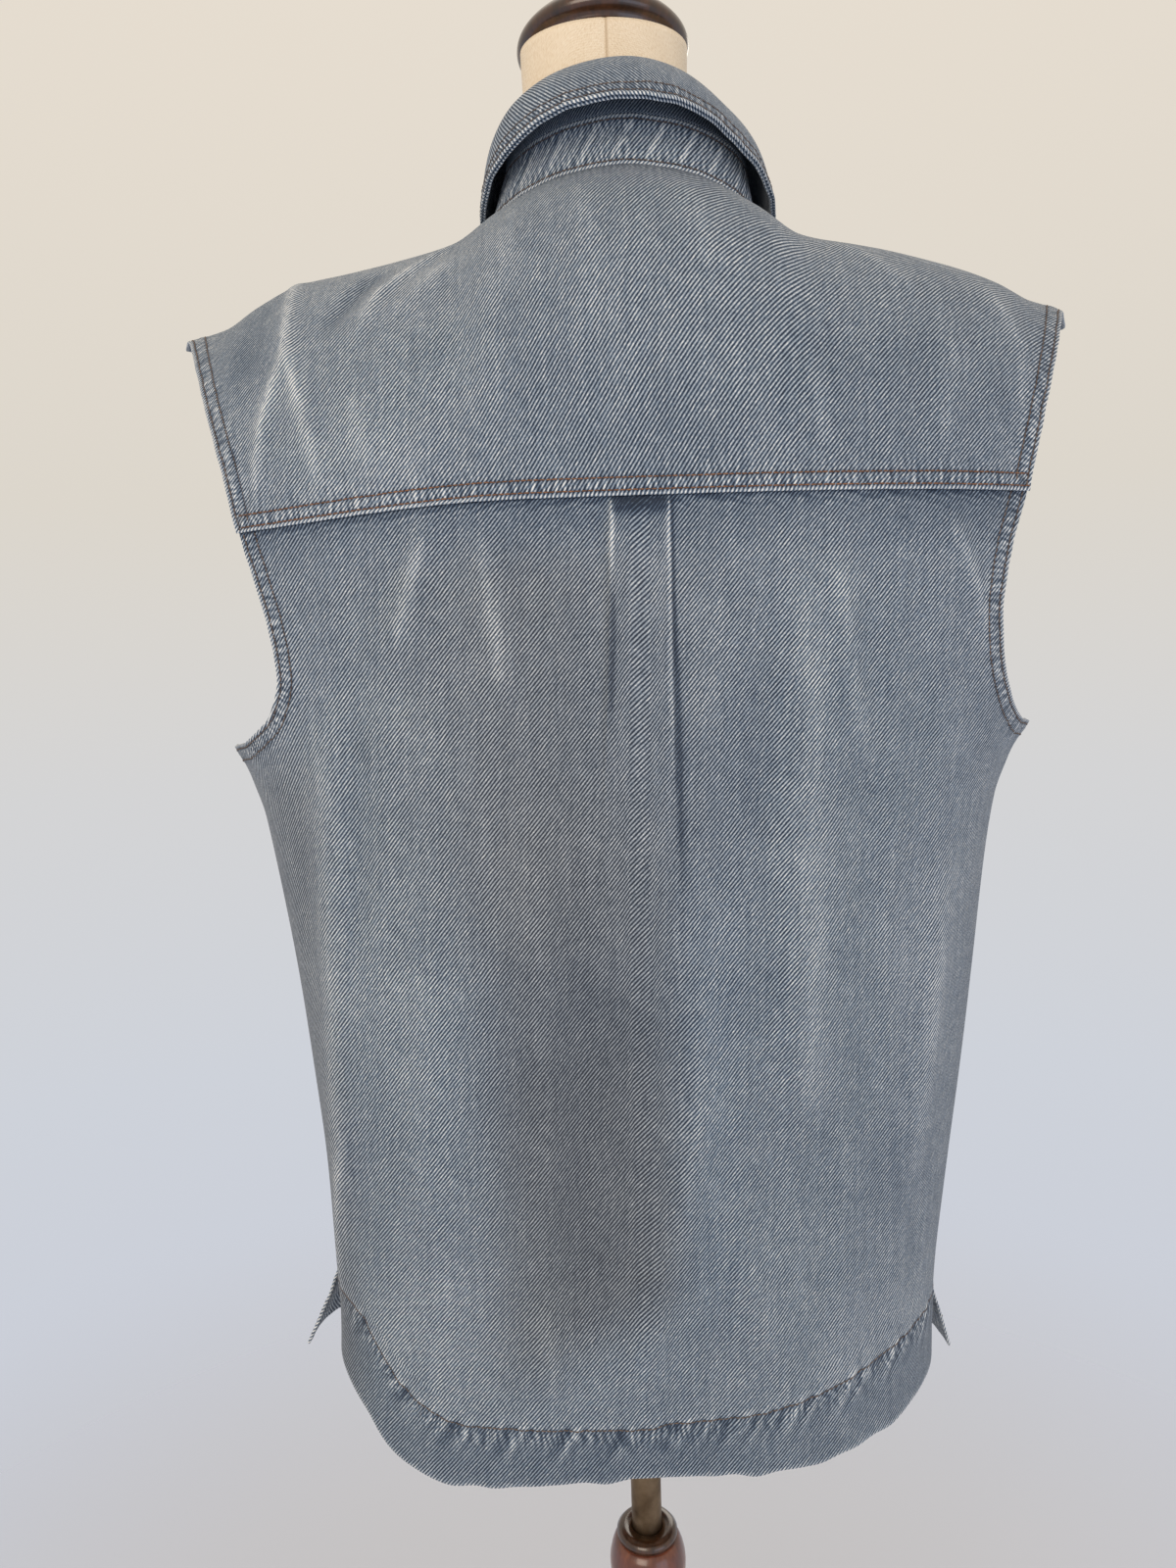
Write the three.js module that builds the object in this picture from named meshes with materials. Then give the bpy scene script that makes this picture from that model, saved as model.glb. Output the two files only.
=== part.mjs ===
// A sleeveless denim shirt vest, buttoned on a limbless dress form with a turned wooden stand.
// Millimetres, +Z up, the floor at z = 0. The wearer's front faces -Y and the wearer's left is +X.
import * as THREE from 'three';

// Heights and cloth
const CHEST_Z = 1252;
const ARMPIT_Z = 1120;
const ARCH = 230;
const RIDGE_H = CHEST_Z + ARCH;
const SIDE_Y = -8;
const CLOTH = 1.6;
const DOUBLE_CLOTH = 2.4;
const SEAM_GAP = 0.3;
const SIDE_SEAM_ROW = 1100;
const HEM_Z = 700;
const QUARTER = Math.PI / 2;

// Yoke, pleat, placket and buttons
const YOKE_FRONT_Y = SIDE_Y - 35;
const YOKE_DROP_LEFT = 9;
const YOKE_CORNER_X = 215;
const PLEAT_RAISE = 2.2;
const PLEAT_FALL = 1.4;
const PLEAT_VALLEY = 1.5;
const PLEAT_ROOT = 6;
const PLEAT_END = 1060;
const PLEAT_FADE = 110;
const PLACKET_HALF = 15;
const STAND_STEP_X = 34;
const STAND_STEP = 14;
const BUTTON_RADIUS = 8.5;
const BUTTON_THICK = 3.4;
const BUTTON_HEIGHTS = [1340, 1262, 1172, 1082, 992, 902, 812];

// Neck opening and collar
const NECK_HALF = 80;
const NECK_BACK = 50;
const NECK_FRONT = -86;
const NECK_ROUND_BACK = 2.5;
const NECK_ROUND_FRONT = 2;
const STAND_HEIGHT = 28;
const FRONT_NECK_LIFT = 0.8;
const LEAF_STEPS = 7;

// Side vents and the flare of the front corners
const VENT_LEFT = 783;
const VENT_RIGHT = 768;
const FLARE_LEFT = 26;
const FLARE_RIGHT = 18;
const FLARE_DROP = 78;
const FLARE_START = 0.72;

// Dress form and stand
const FORM_BOTTOM = 735;
const FORM_SHOULDER = 165;
const FORM_ROUNDING = 33;
const FORM_CLEAR = 0.5;
const FORM_EASE_BACK = 12;
const FORM_EASE_FRONT = 26;
const FORM_TOP = 1540;
const NECK_ROOT_Z = 1440;
const NECK_LEVELLING = 50;
const NECK_SLOPE = 0.7;
const NECK_AXIS_Y = -25;
const POLE_RADIUS = 10.2;
const POLE_BOTTOM = 360;
const POST_TOP = 577;
const BORE_RADIUS = 10.7;
const BORE_BOTTOM = 300;
const LEG_REACH = 332;
const LEG_THICK = 26;
const LEG_SOLE = 42;
const LEG_ROOT_TOP = 242;
const LEG_ROOT_BOTTOM = 170;
const LEG_TURNS = [-90, 30, 150];
const BLOCK_RADIUS = 32;

// The stand's footprint is centred on the origin, so the pole stands a little behind it.
const BACK_LEG_REACH = LEG_REACH * Math.sin(Math.PI / 6) + (LEG_THICK / 2) * Math.cos(Math.PI / 6);
const POLE_Y = (LEG_REACH - BACK_LEG_REACH) / 2;

// The hanging cloth by height: half widths from the centre line, depths behind and in front.
const BODY = [
  { z: 680, left: 207, right: 190, back: 90, front: 126 },
  { z: 760, left: 200, right: 190, back: 95, front: 132 },
  { z: 840, left: 200.5, right: 197, back: 101, front: 138 },
  { z: 920, left: 207.5, right: 207, back: 106, front: 143 },
  { z: 1000, left: 215.5, right: 215.5, back: 111, front: 148 },
  { z: 1060, left: 224.5, right: 222, back: 113, front: 151 },
  { z: 1105, left: 234, right: 231, back: 115, front: 152 },
  { z: 1130, left: 251, right: 250, back: 116, front: 151 },
  { z: 1252, left: 292, right: 292, back: 116, front: 132 },
];

// The shoulder line, by distance from the centre line.
const SHOULDER = [
  { x: 0, left: 1466, right: 1466 },
  { x: 40, left: 1455, right: 1455 },
  { x: 76, left: 1435, right: 1435 },
  { x: 100, left: 1418, right: 1418 },
  { x: 130, left: 1410, right: 1411 },
  { x: 160, left: 1404, right: 1404 },
  { x: 190, left: 1399, right: 1397 },
  { x: 215, left: 1388, right: 1389 },
  { x: 235, left: 1377, right: 1380 },
  { x: 255, left: 1373, right: 1375 },
  { x: 275, left: 1371, right: 1367 },
];

// The armhole edge, by height below the chest line and by the way up the shoulder above it.
const ARMHOLE = [
  { h: 1120, left: 244, right: 242.5, frontLeft: 244, frontRight: 242.5 },
  { h: 1130, left: 223, right: 221, frontLeft: 226, frontRight: 225 },
  { h: 1145, left: 204, right: 209, frontLeft: 205, frontRight: 206 },
  { h: 1165, left: 198, right: 202, frontLeft: 194, frontRight: 195 },
  { h: 1190, left: 201.5, right: 199, frontLeft: 190, frontRight: 190 },
  { h: 1220, left: 209.5, right: 202, frontLeft: 190, frontRight: 190 },
  { h: 1252, left: 218.5, right: 210, frontLeft: 194, frontRight: 193 },
  { h: 1310, left: 233, right: 226, frontLeft: 206, frontRight: 204 },
  { h: 1370, left: 247, right: 243, frontLeft: 226, frontRight: 224 },
  { h: 1430, left: 261, right: 259.5, frontLeft: 250, frontRight: 249 },
  { h: 1482, left: 274, right: 275, frontLeft: 274, frontRight: 275 },
];

// Height of the lower edge, by share of the half width.
const BACK_HEM = [
  { share: 0, left: 690, right: 690 },
  { share: 0.3, left: 686, right: 688.5 },
  { share: 0.5, left: 682, right: 690 },
  { share: 0.63, left: 682.5, right: 695.5 },
  { share: 0.72, left: 688, right: 700 },
  { share: 0.8, left: 699, right: 704.5 },
  { share: 0.87, left: 714, right: 710 },
  { share: 0.93, left: 724, right: 715 },
  { share: 1, left: 731, right: 720 },
];
const FRONT_HEM = [
  { share: 0, left: 702, right: 700 },
  { share: 0.5, left: 697, right: 693 },
  { share: 0.8, left: 700, right: 694 },
  { share: 1, left: 720, right: 704 },
];

// Half width of the box pleat between its two folds.
const PLEAT = [
  { h: 680, half: 27 },
  { h: 1085, half: 19.5 },
  { h: 1180, half: 17 },
  { h: 1262, half: 15.5 },
];

// Large soft folds of the back: a ridge from one point to another, or a hollow where rise is negative.
const BACK_FOLDS = [
  { x0: 172, h0: 1130, x1: 177, h1: 990, width: 13, rise: 4 },
  { x0: 177, h0: 990, x1: 186, h1: 800, width: 11, rise: 4 },
  { x0: -172, h0: 1040, x1: -158, h1: 850, width: 13, rise: 4 },
  { x0: -88, h0: 1215, x1: -94, h1: 905, width: 20, rise: 5 },
  { x0: 112, h0: 1232, x1: 130, h1: 1170, width: 13, rise: 4 },
  { x0: 82, h0: 1228, x1: 70, h1: 1130, width: 14, rise: 4 },
  { x0: -165, h0: 1232, x1: -186, h1: 1175, width: 10, rise: 4 },
  { x0: 28, h0: 960, x1: 30, h1: 745, width: 42, rise: -9 },
  { x0: -34, h0: 1000, x1: -8, h1: 745, width: 15, rise: 5 },
];

// Collar leaf by the turn round the neck in degrees, the left side positive:
// how far in the stand leans, where the leaf rolls over, and where its edge lies above the cloth.
const COLLAR = [
  { turn: -180, lean: 3, crestOut: 3, crestUp: 33, edgeOut: 27, edgeClear: 5 },
  { turn: -150, lean: 4, crestOut: 2, crestUp: 36, edgeOut: 40, edgeClear: 5 },
  { turn: -120, lean: 5, crestOut: 2, crestUp: 42, edgeOut: 26, edgeClear: 6 },
  { turn: -90, lean: 5, crestOut: -4, crestUp: 45, edgeOut: 11, edgeClear: 12 },
  { turn: -45, lean: 4, crestOut: -9, crestUp: 48, edgeOut: 11, edgeClear: 27 },
  { turn: 0, lean: 3, crestOut: -4, crestUp: 53, edgeOut: 23, edgeClear: 45 },
  { turn: 45, lean: 6, crestOut: -6, crestUp: 55, edgeOut: 11, edgeClear: 29 },
  { turn: 90, lean: 10, crestOut: -10, crestUp: 48, edgeOut: 4, edgeClear: 7 },
  { turn: 120, lean: 8, crestOut: -4, crestUp: 44, edgeOut: 20, edgeClear: 6 },
  { turn: 150, lean: 5, crestOut: 0, crestUp: 37, edgeOut: 38, edgeClear: 5 },
  { turn: 180, lean: 3, crestOut: 3, crestUp: 33, edgeOut: 27, edgeClear: 5 },
];

// Dress form below the shoulders, and its neck: half width, back and front by height.
const FORM_BODY = [
  { z: 735, half: 150, back: 70, front: 92 },
  { z: 790, half: 163, back: 79, front: 100 },
  { z: 850, half: 165, back: 82, front: 102 },
  { z: 930, half: 152, back: 76, front: 98 },
  { z: 1010, half: 134, back: 68, front: 92 },
  { z: 1080, half: 142, back: 74, front: 100 },
  { z: 1170, half: 160, back: 86, front: 116 },
  { z: 1240, half: 174, back: 92, front: 112 },
  { z: 1300, half: 188, back: 90, front: 104 },
];
const FORM_CHEST = { half: 196, back: 86, front: -98 };
const FORM_NECK = [
  { z: 1448, half: 58, back: 34, front: 76 },
  { z: 1470, half: 53, back: 30, front: 74 },
  { z: 1500, half: 50, back: 26, front: 74 },
  { z: 1540, half: 51, back: 26, front: 76 },
];
const FORM_NECK_BASE = { half: 64, back: 38, front: -76 };

// Turned pieces, each from its own foot or from the floor.
const CAP_PROFILE = [
  { radius: 0, z: 0 },
  { radius: 48, z: 0 },
  { radius: 49, z: 4 },
  { radius: 53, z: 6.5 },
  { radius: 54, z: 10 },
  { radius: 52.5, z: 14 },
  { radius: 45, z: 21 },
  { radius: 30, z: 29 },
  { radius: 14, z: 33 },
  { radius: 0, z: 34 },
];
const BUSHING_PROFILE = [
  { radius: BORE_RADIUS, z: 0 },
  { radius: 20.5, z: 0 },
  { radius: 20.5, z: 3 },
  { radius: 18, z: 5.7 },
  { radius: BORE_RADIUS, z: 5.7 },
  { radius: BORE_RADIUS, z: 0 },
];
const POLE_PROFILE = [
  { radius: 0, z: POLE_BOTTOM },
  { radius: POLE_RADIUS, z: POLE_BOTTOM },
  { radius: POLE_RADIUS, z: FORM_BOTTOM - SEAM_GAP },
  { radius: 0, z: FORM_BOTTOM - SEAM_GAP },
];
const POST_PROFILE = [
  { radius: 0, z: 122 },
  { radius: 14, z: 124 },
  { radius: 24, z: 136 },
  { radius: 22, z: 150 },
  { radius: BLOCK_RADIUS, z: 158 },
  { radius: BLOCK_RADIUS, z: 250 },
  { radius: 24, z: 258 },
  { radius: 27, z: 268 },
  { radius: 20, z: 284 },
  { radius: 17.5, z: 320 },
  { radius: 19, z: 380 },
  { radius: 22, z: 440 },
  { radius: 23, z: 480 },
  { radius: 17, z: 510 },
  { radius: 15.5, z: 522 },
  { radius: 21, z: 534 },
  { radius: 25.5, z: 549 },
  { radius: 26, z: 561 },
  { radius: 24, z: 570 },
  { radius: 20.5, z: POST_TOP },
  { radius: BORE_RADIUS, z: POST_TOP },
  { radius: BORE_RADIUS, z: BORE_BOTTOM },
  { radius: 0, z: BORE_BOTTOM },
];

// A smooth curve through a table's rows that never overshoots them.
function curveThrough(table, key, column) {
  const places = table.map((row) => row[key]);
  const values = table.map((row) => row[column]);
  const last = places.length - 1;
  const rises = places.slice(1).map((place, i) => (values[i + 1] - values[i]) / (place - places[i]));
  const slopes = places.map((_, i) => {
    const before = rises[Math.max(i - 1, 0)];
    const after = rises[Math.min(i, last - 1)];
    return before * after > 0 ? (2 * before * after) / (before + after) : 0;
  });
  return (at) => {
    const place = Math.min(Math.max(at, places[0]), places[last]);
    const row = Math.min(places.findLastIndex((value) => value <= place), last - 1);
    const span = places[row + 1] - places[row];
    const t = (place - places[row]) / span;
    const start = values[row] * (1 + 2 * t) * (1 - t) ** 2 + slopes[row] * span * t * (1 - t) ** 2;
    const end = values[row + 1] * t * t * (3 - 2 * t) + slopes[row + 1] * span * t * t * (t - 1);
    return start + end;
  };
}

const body = {
  left: curveThrough(BODY, 'z', 'left'),
  right: curveThrough(BODY, 'z', 'right'),
  back: curveThrough(BODY, 'z', 'back'),
  front: curveThrough(BODY, 'z', 'front'),
};
const shoulder = {
  left: curveThrough(SHOULDER, 'x', 'left'),
  right: curveThrough(SHOULDER, 'x', 'right'),
};
const armhole = {
  backLeft: curveThrough(ARMHOLE, 'h', 'left'),
  backRight: curveThrough(ARMHOLE, 'h', 'right'),
  frontLeft: curveThrough(ARMHOLE, 'h', 'frontLeft'),
  frontRight: curveThrough(ARMHOLE, 'h', 'frontRight'),
};
const pleatHalf = curveThrough(PLEAT, 'h', 'half');

function ease(value) {
  const t = Math.min(Math.max(value, 0), 1);
  return t * t * (3 - 2 * t);
}

function mix(a, b, t) {
  return a + (b - a) * t;
}

function halfWidth(side, z) {
  return (side > 0 ? body.left : body.right)(z);
}

function shoulderZ(x) {
  return (x > 0 ? shoulder.left : shoulder.right)(Math.abs(x));
}

// The vest hangs a little to the wearer's right at the top.
function centreX(z) {
  return -2 - 6 * ease((z - 1000) / 300);
}

function roundness(face) {
  return face > 0 ? 2.6 : 2.2;
}

function archRoundness(face, x) {
  return face > 0 ? 2.3 : 1.6 + 0.7 * ease(Math.abs(x) / 220);
}

function depthAt(face, z) {
  return face > 0 ? body.back(z) - SIDE_Y : -(body.front(z) + SIDE_Y);
}

// A point of the cloth's outer surface. The face is 1 behind and -1 in front, the side 1 on the
// left, turn goes from 0 on the centre line to a quarter at the side seam, and h is the height up to
// the chest line and the way over the shoulder above it.
function surfacePoint(face, side, turn, h) {
  const low = Math.min(h, CHEST_Z);
  const power = 2 / roundness(face);
  const x = side * halfWidth(side, low) * Math.sin(turn) ** power;
  const across = depthAt(face, low) * Math.max(Math.cos(turn), 0) ** power;
  const climb = (Math.min(Math.max(h - CHEST_Z, 0), ARCH) / ARCH) * QUARTER;
  const archPower = 2 / archRoundness(face, x);
  const z = low + (shoulderZ(x) - CHEST_Z) * Math.sin(climb) ** archPower;
  const y = SIDE_Y + across * Math.max(Math.cos(climb), 0) ** archPower;
  return new THREE.Vector3(x + centreX(z), y, z);
}

function turnFor(face, x, h) {
  const half = halfWidth(Math.sign(x) || 1, Math.min(h, CHEST_Z));
  const share = Math.min(Math.abs(x) / half, 1);
  return Math.asin(share ** (roundness(face) / 2));
}

function surfaceNormal(face, side, turn, h) {
  const step = 0.01;
  const rise = 1;
  const turnLow = Math.max(turn - step, 0);
  const turnHigh = Math.min(turn + step, QUARTER);
  const hLow = h - rise;
  const hHigh = Math.min(h + rise, RIDGE_H);
  const along = surfacePoint(face, side, turnHigh, h).sub(surfacePoint(face, side, turnLow, h));
  const up = surfacePoint(face, side, turn, hHigh).sub(surfacePoint(face, side, turn, hLow));
  const normal = along.cross(up).normalize();
  return normal.multiplyScalar(face * side > 0 ? -1 : 1);
}

// A point moved out from the surface, by x along the panel and h up it.
function clothPoint(face, x, h, out) {
  const side = Math.sign(x) || 1;
  const turn = turnFor(face, x, h);
  const point = surfacePoint(face, side, turn, h);
  return point.addScaledVector(surfaceNormal(face, side, turn, h), out);
}

// Height of the cloth's surface over a place in plan, measured from the centre line.
function climbOver(face, x, y) {
  const turn = turnFor(face, x, CHEST_Z);
  const across = depthAt(face, CHEST_Z) * Math.cos(turn) ** (2 / roundness(face));
  const share = Math.min(Math.max((y - SIDE_Y) / across, 0), 1);
  return { share, h: CHEST_Z + ARCH * (Math.acos(share ** (archRoundness(face, x) / 2)) / QUARTER) };
}

function heightOver(face, x, y) {
  const { share } = climbOver(face, x, y);
  const power = archRoundness(face, x);
  return CHEST_Z + (shoulderZ(x) - CHEST_Z) * (1 - share ** power) ** (1 / power);
}

// Outward rise of the back panel: the box pleat under the yoke and the large folds.
function backRelief(x, h) {
  const below = yokeEdge(x) - h;
  let rise = 0;
  if (below > 0) {
    const pleatFade = ease((h - PLEAT_END) / PLEAT_FADE) * ease(below / PLEAT_ROOT);
    const inside = 1 - ease((Math.abs(x) - pleatHalf(h) + PLEAT_FALL / 2) / PLEAT_FALL);
    const valley = Math.exp(-(((Math.abs(x) - pleatHalf(h) - 6) / 7) ** 2));
    rise += pleatFade * (PLEAT_RAISE * inside - PLEAT_VALLEY * valley * (1 - inside));
  }
  for (const fold of BACK_FOLDS) {
    const run = new THREE.Vector2(fold.x1 - fold.x0, fold.h1 - fold.h0);
    const from = new THREE.Vector2(x - fold.x0, h - fold.h0);
    const along = Math.min(Math.max(from.dot(run) / run.lengthSq(), 0), 1);
    const away = from.distanceTo(run.multiplyScalar(along));
    rise += fold.rise * Math.exp(-((away / fold.width) ** 2)) * ease(below / 12);
  }
  return rise;
}

// Height of the yoke's lower edge on the back.
function yokeEdge(x) {
  return CHEST_Z - YOKE_DROP_LEFT * ease((x - 60) / 180);
}

// A closed wall between two grids of points, each a list of rows.
function wall(outer, inner) {
  const rows = outer.length;
  const columns = outer[0].length;
  const positions = [...outer.flat(), ...inner.flat()].flatMap((point) => point.toArray());
  const index = [];
  const out = (row, column) => row * columns + column;
  const back = (row, column) => rows * columns + out(row, column);
  const quad = (a, b, c, d) => index.push(a, b, c, a, c, d);
  for (let row = 0; row < rows - 1; row += 1) {
    for (let column = 0; column < columns - 1; column += 1) {
      quad(out(row, column), out(row, column + 1), out(row + 1, column + 1), out(row + 1, column));
      quad(back(row, column), back(row + 1, column), back(row + 1, column + 1), back(row, column + 1));
    }
    quad(out(row, 0), out(row + 1, 0), back(row + 1, 0), back(row, 0));
    const end = columns - 1;
    quad(out(row + 1, end), out(row, end), back(row, end), back(row + 1, end));
  }
  const top = rows - 1;
  for (let column = 0; column < columns - 1; column += 1) {
    quad(out(0, column + 1), out(0, column), back(0, column), back(0, column + 1));
    quad(out(top, column), out(top, column + 1), back(top, column + 1), back(top, column));
  }
  return outwardSolid(positions, index);
}

// A closed solid from rings of points, one above the other, with a flat or domed end at each.
function ringSolid(rings) {
  const count = rings[0].length;
  const positions = rings.flat().flatMap((point) => point.toArray());
  const index = [];
  for (let row = 0; row < rings.length - 1; row += 1) {
    for (let i = 0; i < count; i += 1) {
      const next = (i + 1) % count;
      const a = row * count + i;
      const b = row * count + next;
      index.push(a, b, b + count, a, b + count, a + count);
    }
  }
  for (const row of [0, rings.length - 1]) {
    const centre = new THREE.Vector3();
    rings[row].forEach((point) => centre.addScaledVector(point, 1 / count));
    const middle = positions.length / 3;
    positions.push(...centre.toArray());
    for (let i = 0; i < count; i += 1) {
      const a = row * count + i;
      const b = row * count + ((i + 1) % count);
      index.push(...(row === 0 ? [middle, b, a] : [middle, a, b]));
    }
  }
  return outwardSolid(positions, index);
}

// Turns every face round where a solid's faces point inward, which its signed volume shows.
function outwardSolid(positions, index) {
  const corner = (i) => new THREE.Vector3().fromArray(positions, index[i] * 3);
  let volume = 0;
  for (let i = 0; i < index.length; i += 3) {
    volume += corner(i).dot(corner(i + 1).cross(corner(i + 2)));
  }
  if (volume < 0) {
    for (let i = 0; i < index.length; i += 3) {
      [index[i + 1], index[i + 2]] = [index[i + 2], index[i + 1]];
    }
  }
  const geometry = new THREE.BufferGeometry();
  geometry.setAttribute('position', new THREE.Float32BufferAttribute(positions, 3));
  geometry.setIndex(index);
  geometry.computeVertexNormals();
  return geometry;
}

const denim = new THREE.MeshStandardMaterial({ color: 0x71808f, roughness: 0.92 });
const darkDenim = new THREE.MeshStandardMaterial({ color: 0x5a6a7b, roughness: 0.92 });
const buttonMetal = new THREE.MeshStandardMaterial({ color: 0x6b5f52, roughness: 0.45, metalness: 1 });
const formCloth = new THREE.MeshStandardMaterial({ color: 0xdcd2bf, roughness: 0.95 });
const walnut = new THREE.MeshStandardMaterial({ color: 0x3b2218, roughness: 0.3 });
const bronze = new THREE.MeshStandardMaterial({ color: 0x8b7a63, roughness: 0.35, metalness: 1 });
const mahogany = new THREE.MeshStandardMaterial({ color: 0x6e3b26, roughness: 0.3 });

const vestOnForm = new THREE.Group();
const atPole = new THREE.Group();
atPole.position.y = POLE_Y;
vestOnForm.add(atPole);

function addPiece(name, geometry, material, parent = atPole) {
  const mesh = new THREE.Mesh(geometry, material);
  mesh.name = name;
  parent.add(mesh);
  return mesh;
}

function edgeOf(face, side, h) {
  if (h < ARMPIT_Z) {
    return halfWidth(side, h);
  }
  const name = (face > 0 ? 'back' : 'front') + (side > 0 ? 'Left' : 'Right');
  return armhole[name](h);
}

// Leaves half of the seam's gap at a panel's side edge.
function openSeam(point, face, share, h) {
  if (share === 1 && h <= ARMPIT_Z) {
    point.y += (face * SEAM_GAP) / 2;
  }
  return point;
}

// Evenly spread steps round a quarter turn, close together at its end.
function sideShares(steps) {
  return Array.from({ length: steps }, (_, i) => Math.sin((QUARTER * (i + 1)) / steps));
}

function backPanel() {
  const hem = {
    left: curveThrough(BACK_HEM, 'share', 'left'),
    right: curveThrough(BACK_HEM, 'share', 'right'),
  };
  const sideSteps = sideShares(14);
  const columns = [];
  for (const side of [-1, 1]) {
    const half = [
      { side, pleat: 0.5, fall: 0, share: 0 },
      { side, pleat: 1, fall: -PLEAT_FALL / 2, share: 0 },
      { side, pleat: 1, fall: PLEAT_FALL / 2, share: 0 },
      ...sideSteps.map((share) => ({ side, pleat: 1, fall: PLEAT_FALL / 2, share })),
    ];
    columns.push(...(side < 0 ? half.reverse() : half));
    if (side < 0) {
      columns.push({ side: 1, pleat: 0, fall: 0, share: 0 });
    }
  }
  const lowerRows = [0, 0.07, 0.16, 0.27, 0.38, 0.5, 0.62, 0.74, 0.87, 1];
  const upperRows = [ARMPIT_Z, 1125, 1132, 1142, 1156, 1175, 1198, 1220, 1236];
  const heightsAbove = (x) => [...upperRows, yokeEdge(x) - PLEAT_ROOT, yokeEdge(x) - SEAM_GAP];
  const acrossAt = (column, h) => {
    const inner = pleatHalf(h) * column.pleat + column.fall;
    return column.side * mix(inner, edgeOf(1, column.side, h), column.share);
  };
  const place = (column, h, out) => {
    const x = acrossAt(column, h);
    const point = clothPoint(1, x, h, out + backRelief(x, h) * ease((1 - column.share) * 8));
    return openSeam(point, 1, column.share, h);
  };
  const grid = (out) => {
    const lower = lowerRows.map((t) =>
      columns.map((column) => {
        const guess = Math.abs(acrossAt(column, HEM_Z)) / halfWidth(column.side, HEM_Z);
        const edge = (column.side > 0 ? hem.left : hem.right)(guess);
        return place(column, mix(edge, SIDE_SEAM_ROW, t), out);
      }),
    );
    const upper = heightsAbove(0).map((_, row) =>
      columns.map((column) => {
        const rough = upperRows[row] ?? CHEST_Z;
        const x = acrossAt(column, rough);
        return place(column, heightsAbove(x)[row], out);
      }),
    );
    return [...lower, ...upper];
  };
  return wall(grid(0), grid(-CLOTH));
}

// The neck opening in plan, from the centre line, by the turn round the neck.
function neckPlan(turn) {
  const size = Math.abs(turn);
  const behind = size < QUARTER;
  const power = 2 / (behind ? NECK_ROUND_BACK : NECK_ROUND_FRONT);
  const depth = (behind ? NECK_BACK : NECK_FRONT) - SIDE_Y;
  const x = Math.sign(turn) * NECK_HALF * Math.abs(Math.sin(size)) ** power;
  return new THREE.Vector2(x, SIDE_Y + depth * Math.abs(Math.cos(size)) ** power);
}

// The yoke is laid out flat over the shoulder line: x across, and way from the chest line behind
// (0) up to the shoulder line (ARCH) and down in front of it.
function wayOver(x, y) {
  const face = y >= SIDE_Y ? 1 : -1;
  const climb = climbOver(face, x, y).h - CHEST_Z;
  return face > 0 ? climb : 2 * ARCH - climb;
}

function yokePoint(x, way, out) {
  const face = way <= ARCH ? 1 : -1;
  const h = CHEST_Z + (face > 0 ? way : 2 * ARCH - way);
  return clothPoint(face, x, h, out);
}

// The yoke's front seam runs straight, as the cloth lies flat, from the neck to the armhole.
const FRONT_NECK_TURN = Math.PI - Math.acos((SIDE_Y - YOKE_FRONT_Y) / (SIDE_Y - NECK_FRONT));

function frontSeam(side) {
  const neck = neckPlan(side * FRONT_NECK_TURN);
  const rough = side * armhole[side > 0 ? 'frontLeft' : 'frontRight'](RIDGE_H - 20);
  const way = wayOver(rough, YOKE_FRONT_Y);
  const x = side * edgeOf(-1, side, CHEST_Z + 2 * ARCH - way);
  return { neckX: neck.x, neckWay: wayOver(neck.x, neck.y), x, way };
}

function frontSeamH(side, x) {
  const seam = frontSeam(side);
  const way = mix(seam.neckWay, seam.way, (x - seam.neckX) / (seam.x - seam.neckX));
  return CHEST_Z + 2 * ARCH - way;
}

// Steps round the neck: the yoke's corners behind lie at the corner turn.
const CORNER_TURN = 0.75;
const SIDE_STEPS = 11;
const BACK_STEPS = 20;

function evenSteps(from, to, steps) {
  return Array.from({ length: steps + 1 }, (_, i) => mix(from, to, i / steps));
}

function yoke() {
  const armholeWay = (side, t) => mix(frontSeam(side).way, yokeEdge(side * YOKE_CORNER_X) - CHEST_Z, t);
  const armholeX = (side, way) => {
    const face = way <= ARCH ? 1 : -1;
    return side * edgeOf(face, side, CHEST_Z + (face > 0 ? way : 2 * ARCH - way));
  };
  const sideColumns = (side) =>
    evenSteps(FRONT_NECK_TURN, CORNER_TURN, SIDE_STEPS).map((turn, i) => {
      const way = armholeWay(side, i / SIDE_STEPS);
      return { turn: side * turn, x: armholeX(side, way), way };
    });
  const right = sideColumns(-1);
  const left = sideColumns(1).reverse();
  const behind = evenSteps(-CORNER_TURN, CORNER_TURN, BACK_STEPS).map((turn, i) => {
    const x = mix(right[SIDE_STEPS].x, left[0].x, i / BACK_STEPS);
    return { turn, x, way: yokeEdge(x) - CHEST_Z };
  });
  const columns = [...right, ...behind.slice(1, -1), ...left];
  const rows = 9;
  const grid = (out) =>
    Array.from({ length: rows + 1 }, (_, row) =>
      columns.map((column) => {
        const neck = neckPlan(column.turn);
        const x = mix(column.x, neck.x, row / rows);
        const way = mix(column.way, wayOver(neck.x, neck.y), row / rows);
        return yokePoint(x, way, out);
      }),
    );
  return wall(grid(SEAM_GAP + CLOTH), grid(SEAM_GAP));
}

// The front neckline and the yoke's front seam bound a front panel above.
function frontTop(side, xAt) {
  const inCloth = (h) => {
    const x = xAt(h);
    const point = surfacePoint(-1, Math.sign(x) || 1, turnFor(-1, x, h), h);
    const across = Math.abs(x) / NECK_HALF;
    const along = (point.y - SIDE_Y) / (NECK_FRONT - SIDE_Y);
    return h < frontSeamH(side, x) - 2 * SEAM_GAP && across ** 2 + along ** 2 > 1;
  };
  let low = CHEST_Z;
  let high = RIDGE_H;
  for (let i = 0; i < 30; i += 1) {
    const middle = (low + high) / 2;
    [low, high] = inCloth(middle) ? [middle, high] : [low, middle];
  }
  return low;
}

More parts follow.
